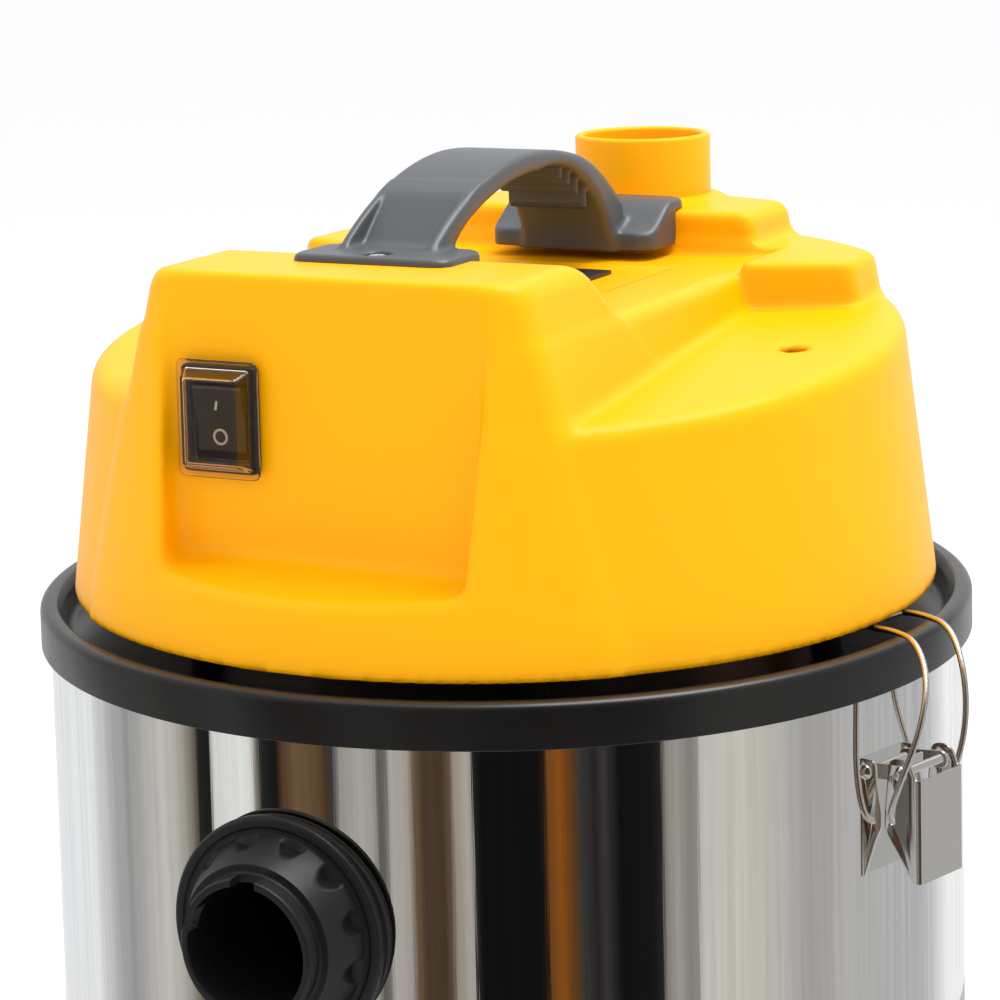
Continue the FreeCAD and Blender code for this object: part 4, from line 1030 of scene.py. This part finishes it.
def studioFloor():
    bpy.ops.mesh.primitive_plane_add(size=60)
    floor = bpy.context.object
    floor.name = "studio_floor"
    material, tree, shader = newMaterial("FloorPaper", studio["floor"], 0.9)
    # mirrored in the drum the paper is painted greyer, a painted reflection, so the bright sheet does not
    # melt into the floor
    ray = tree.nodes.new("ShaderNodeLightPath")
    mix = tree.nodes.new("ShaderNodeMix")
    mix.data_type = "RGBA"
    mix.inputs["A"].default_value = (*studio["floor"], 1)
    mix.inputs["B"].default_value = (*studio["paintedFloorReflection"], 1)
    tree.links.new(ray.outputs["Is Glossy Ray"], mix.inputs["Factor"])
    tree.links.new(mix.outputs["Result"], shader.inputs["Base Color"])
    floor.data.materials.append(material)


def areaLight(name, energy, size, place, target, colour=(1, 1, 1)):
    lamp = bpy.data.lights.new(name, "AREA")
    lamp.energy = energy
    lamp.size = size
    lamp.color = colour
    thing = bpy.data.objects.new(name, lamp)
    scene.collection.objects.link(thing)
    thing.location = place
    thing.rotation_euler = (Vector(target) - Vector(place)).to_track_quat("-Z", "Y").to_euler()
    return thing


def studioWorld():
    world = bpy.data.worlds.new("Studio")
    scene.world = world
    world.use_nodes = True
    background = world.node_tree.nodes["Background"]
    background.inputs["Color"].default_value = (1, 1, 1, 1)
    background.inputs["Strength"].default_value = studio["world"]


# One upright glowing sheet all round that only shows in reflections, so its colours are painted reflections
# on the mirror steel;
# each stop is a turn in degrees from the camera side, then red, green and blue, and two stops close together
# make a hard edge.
paintedReflectionStops = [
    (-180, 0.86, 0.87, 0.88), (-134, 0.8, 0.81, 0.83), (-116, 0.82, 0.83, 0.84), (-107, 0.5, 0.5, 0.51),
    (-98, 0.31, 0.31, 0.31), (-92, 0.45, 0.44, 0.43), (-85, 0.55, 0.53, 0.49), (-81, 0.5, 0.48, 0.44),
    (-77.5, 0.34, 0.32, 0.28), (-74.7, 0.17, 0.14, 0.11), (-73.1, 0.02, 0.018, 0.016),
    (-69.7, 0.012, 0.012, 0.012), (-69.1, 0.62, 0.64, 0.62), (-64.6, 0.76, 0.76, 0.74),
    (-58.5, 0.76, 0.76, 0.73), (-57.4, 0.3, 0.27, 0.23), (-55.9, 0.02, 0.02, 0.02),
    (-51.8, 0.008, 0.008, 0.008), (-50.8, 0.07, 0.035, 0.018), (-47.2, 0.15, 0.09, 0.05),
    (-42.6, 0.13, 0.075, 0.035), (-40, 0.06, 0.035, 0.02), (-38.5, 0.05, 0.045, 0.045),
    (-36.9, 0.32, 0.3, 0.27), (-32.8, 0.4, 0.38, 0.35), (-29.8, 0.37, 0.35, 0.32),
    (-28.2, 0.12, 0.11, 0.1), (-26.7, 0.16, 0.15, 0.14), (-25.6, 0.44, 0.42, 0.39),
    (-22.1, 0.36, 0.33, 0.3), (-20.6, 0.14, 0.09, 0.05), (-18.6, 0.07, 0.045, 0.028),
    (-14.6, 0.065, 0.04, 0.024), (-13.1, 0.12, 0.08, 0.055), (-12.1, 0.28, 0.25, 0.2),
    (-9.6, 0.42, 0.38, 0.34), (-8.4, 0.34, 0.31, 0.28), (-8, 0.02, 0.018, 0.016),
    (-6.6, 0.006, 0.006, 0.006), (5.6, 0.006, 0.006, 0.006), (7.1, 0.02, 0.012, 0.008),
    (7.9, 0.16, 0.06, 0.015), (10.4, 0.26, 0.08, 0.01), (12.3, 0.14, 0.05, 0.012),
    (13.9, 0.07, 0.04, 0.02), (14.9, 0.04, 0.038, 0.036), (17.8, 0.02, 0.018, 0.018),
    (19.5, 0.04, 0.038, 0.036), (21.6, 0.02, 0.018, 0.018), (23.1, 0.006, 0.006, 0.006),
    (30.3, 0.009, 0.009, 0.009), (32, 0.02, 0.019, 0.018), (33.1, 0.26, 0.24, 0.21),
    (35.6, 0.34, 0.32, 0.3), (38.2, 0.25, 0.24, 0.22), (40.1, 0.28, 0.27, 0.25),
    (40.8, 0.55, 0.53, 0.49), (50.3, 0.57, 0.55, 0.5), (57.7, 0.53, 0.51, 0.46),
    (63.9, 0.45, 0.44, 0.42), (69.1, 0.38, 0.37, 0.35), (75.2, 0.42, 0.41, 0.4),
    (82.3, 0.49, 0.48, 0.48), (85.4, 0.45, 0.45, 0.44), (99.7, 0.46, 0.46, 0.47),
    (111.9, 0.48, 0.48, 0.5), (119, 0.62, 0.63, 0.63), (128, 0.92, 0.92, 0.92), (180, 0.86, 0.87, 0.88),
]


# Painted reflection: the sheet glows with its tint colours, broken by noise streaks, and is no lamp.
def paintedReflectionMaterial():
    material, tree, shader = newMaterial("PaintedReflectionGlow", (0, 0, 0), 1.0,
                                         Specular_IOR_Level=0.0, Emission_Strength=1.0)
    tint = tree.nodes.new("ShaderNodeAttribute")
    tint.attribute_name = "tint"
    streaks = noiseNode(tree, stretched(tree, (1, 1, 0.05)), 55, 4, 0.6)
    level = mathNode(tree, "MULTIPLY_ADD", streaks, 0.5, 0.75)
    mix = tree.nodes.new("ShaderNodeMix")
    mix.data_type = "RGBA"
    mix.blend_type = "MULTIPLY"
    mix.inputs["Factor"].default_value = 1
    tree.links.new(tint.outputs["Color"], mix.inputs["A"])
    tree.links.new(level, mix.inputs["B"])
    tree.links.new(mix.outputs["Result"], shader.inputs["Emission Color"])
    return material


def paintedReflectionSheet():
    turns, *shades = zip(*paintedReflectionStops)
    spread = sorted(set(turns) | set(range(-180, 181, 3)))
    columns = [[float(np.interp(turn, turns, shade)) for shade in shades] for turn in spread]
    verts = []
    for turn in spread:
        angle = radians(viewAngle + turn)
        for height in (0.002, studio["cardTop"]):
            verts.append((studio["radius"] * sin(angle), -studio["radius"] * cos(angle), height))
    faces = [(2 * n, 2 * n + 1, 2 * n + 3, 2 * n + 2) for n in range(len(spread) - 1)]
    card = meshObject("painted_reflection_sheet", verts, faces, False)
    tint = card.data.attributes.new("tint", "FLOAT_COLOR", "POINT")
    for n, colour in enumerate(columns):
        for end in (0, 1):
            tint.data[2 * n + end].color = (*colour, 1)
    card.data.materials.append(paintedReflectionMaterial())
    card.visible_camera = False
    card.visible_diffuse = False
    card.visible_shadow = False
    card.visible_transmission = False


viewAngle = 26.7
lens = {"distance": 1.180, "height": 0.304, "pitch": 0.12, "roll": -0.024, "focal": 115.16,
        "shiftX": 0.0036, "shiftY": -0.3087}


def addCamera():
    data = bpy.data.cameras.new("Camera")
    camera = bpy.data.objects.new("Camera", data)
    scene.collection.objects.link(camera)
    turn = radians(viewAngle)
    camera.location = (lens["distance"] * sin(turn), -lens["distance"] * cos(turn),
                       seam * mm + lens["height"])
    look = Vector((-sin(turn) * cos(lens["pitch"]), cos(turn) * cos(lens["pitch"]), -sin(lens["pitch"])))
    rotation = look.to_track_quat("-Z", "Y").to_matrix() @ Matrix.Rotation(lens["roll"], 3, "Z")
    camera.rotation_euler = rotation.to_euler()
    data.sensor_width = 36
    data.lens = lens["focal"]
    data.shift_x = lens["shiftX"]
    data.shift_y = lens["shiftY"]
    data.clip_start = 0.02
    data.clip_end = 200
    scene.camera = camera


addCamera()
studioFloor()
studioWorld()
paintedReflectionSheet()
areaLight("KeyLight", studio["key"], 1.2, (0.5, 0.3, 2.2), (0, 0, 0.5))
areaLight("FillLight", studio["fill"], 1.5, (-1.6, -1.2, 1.6), (0, 0, 0.5))
scene.view_settings.view_transform = "Standard"
print("studio")
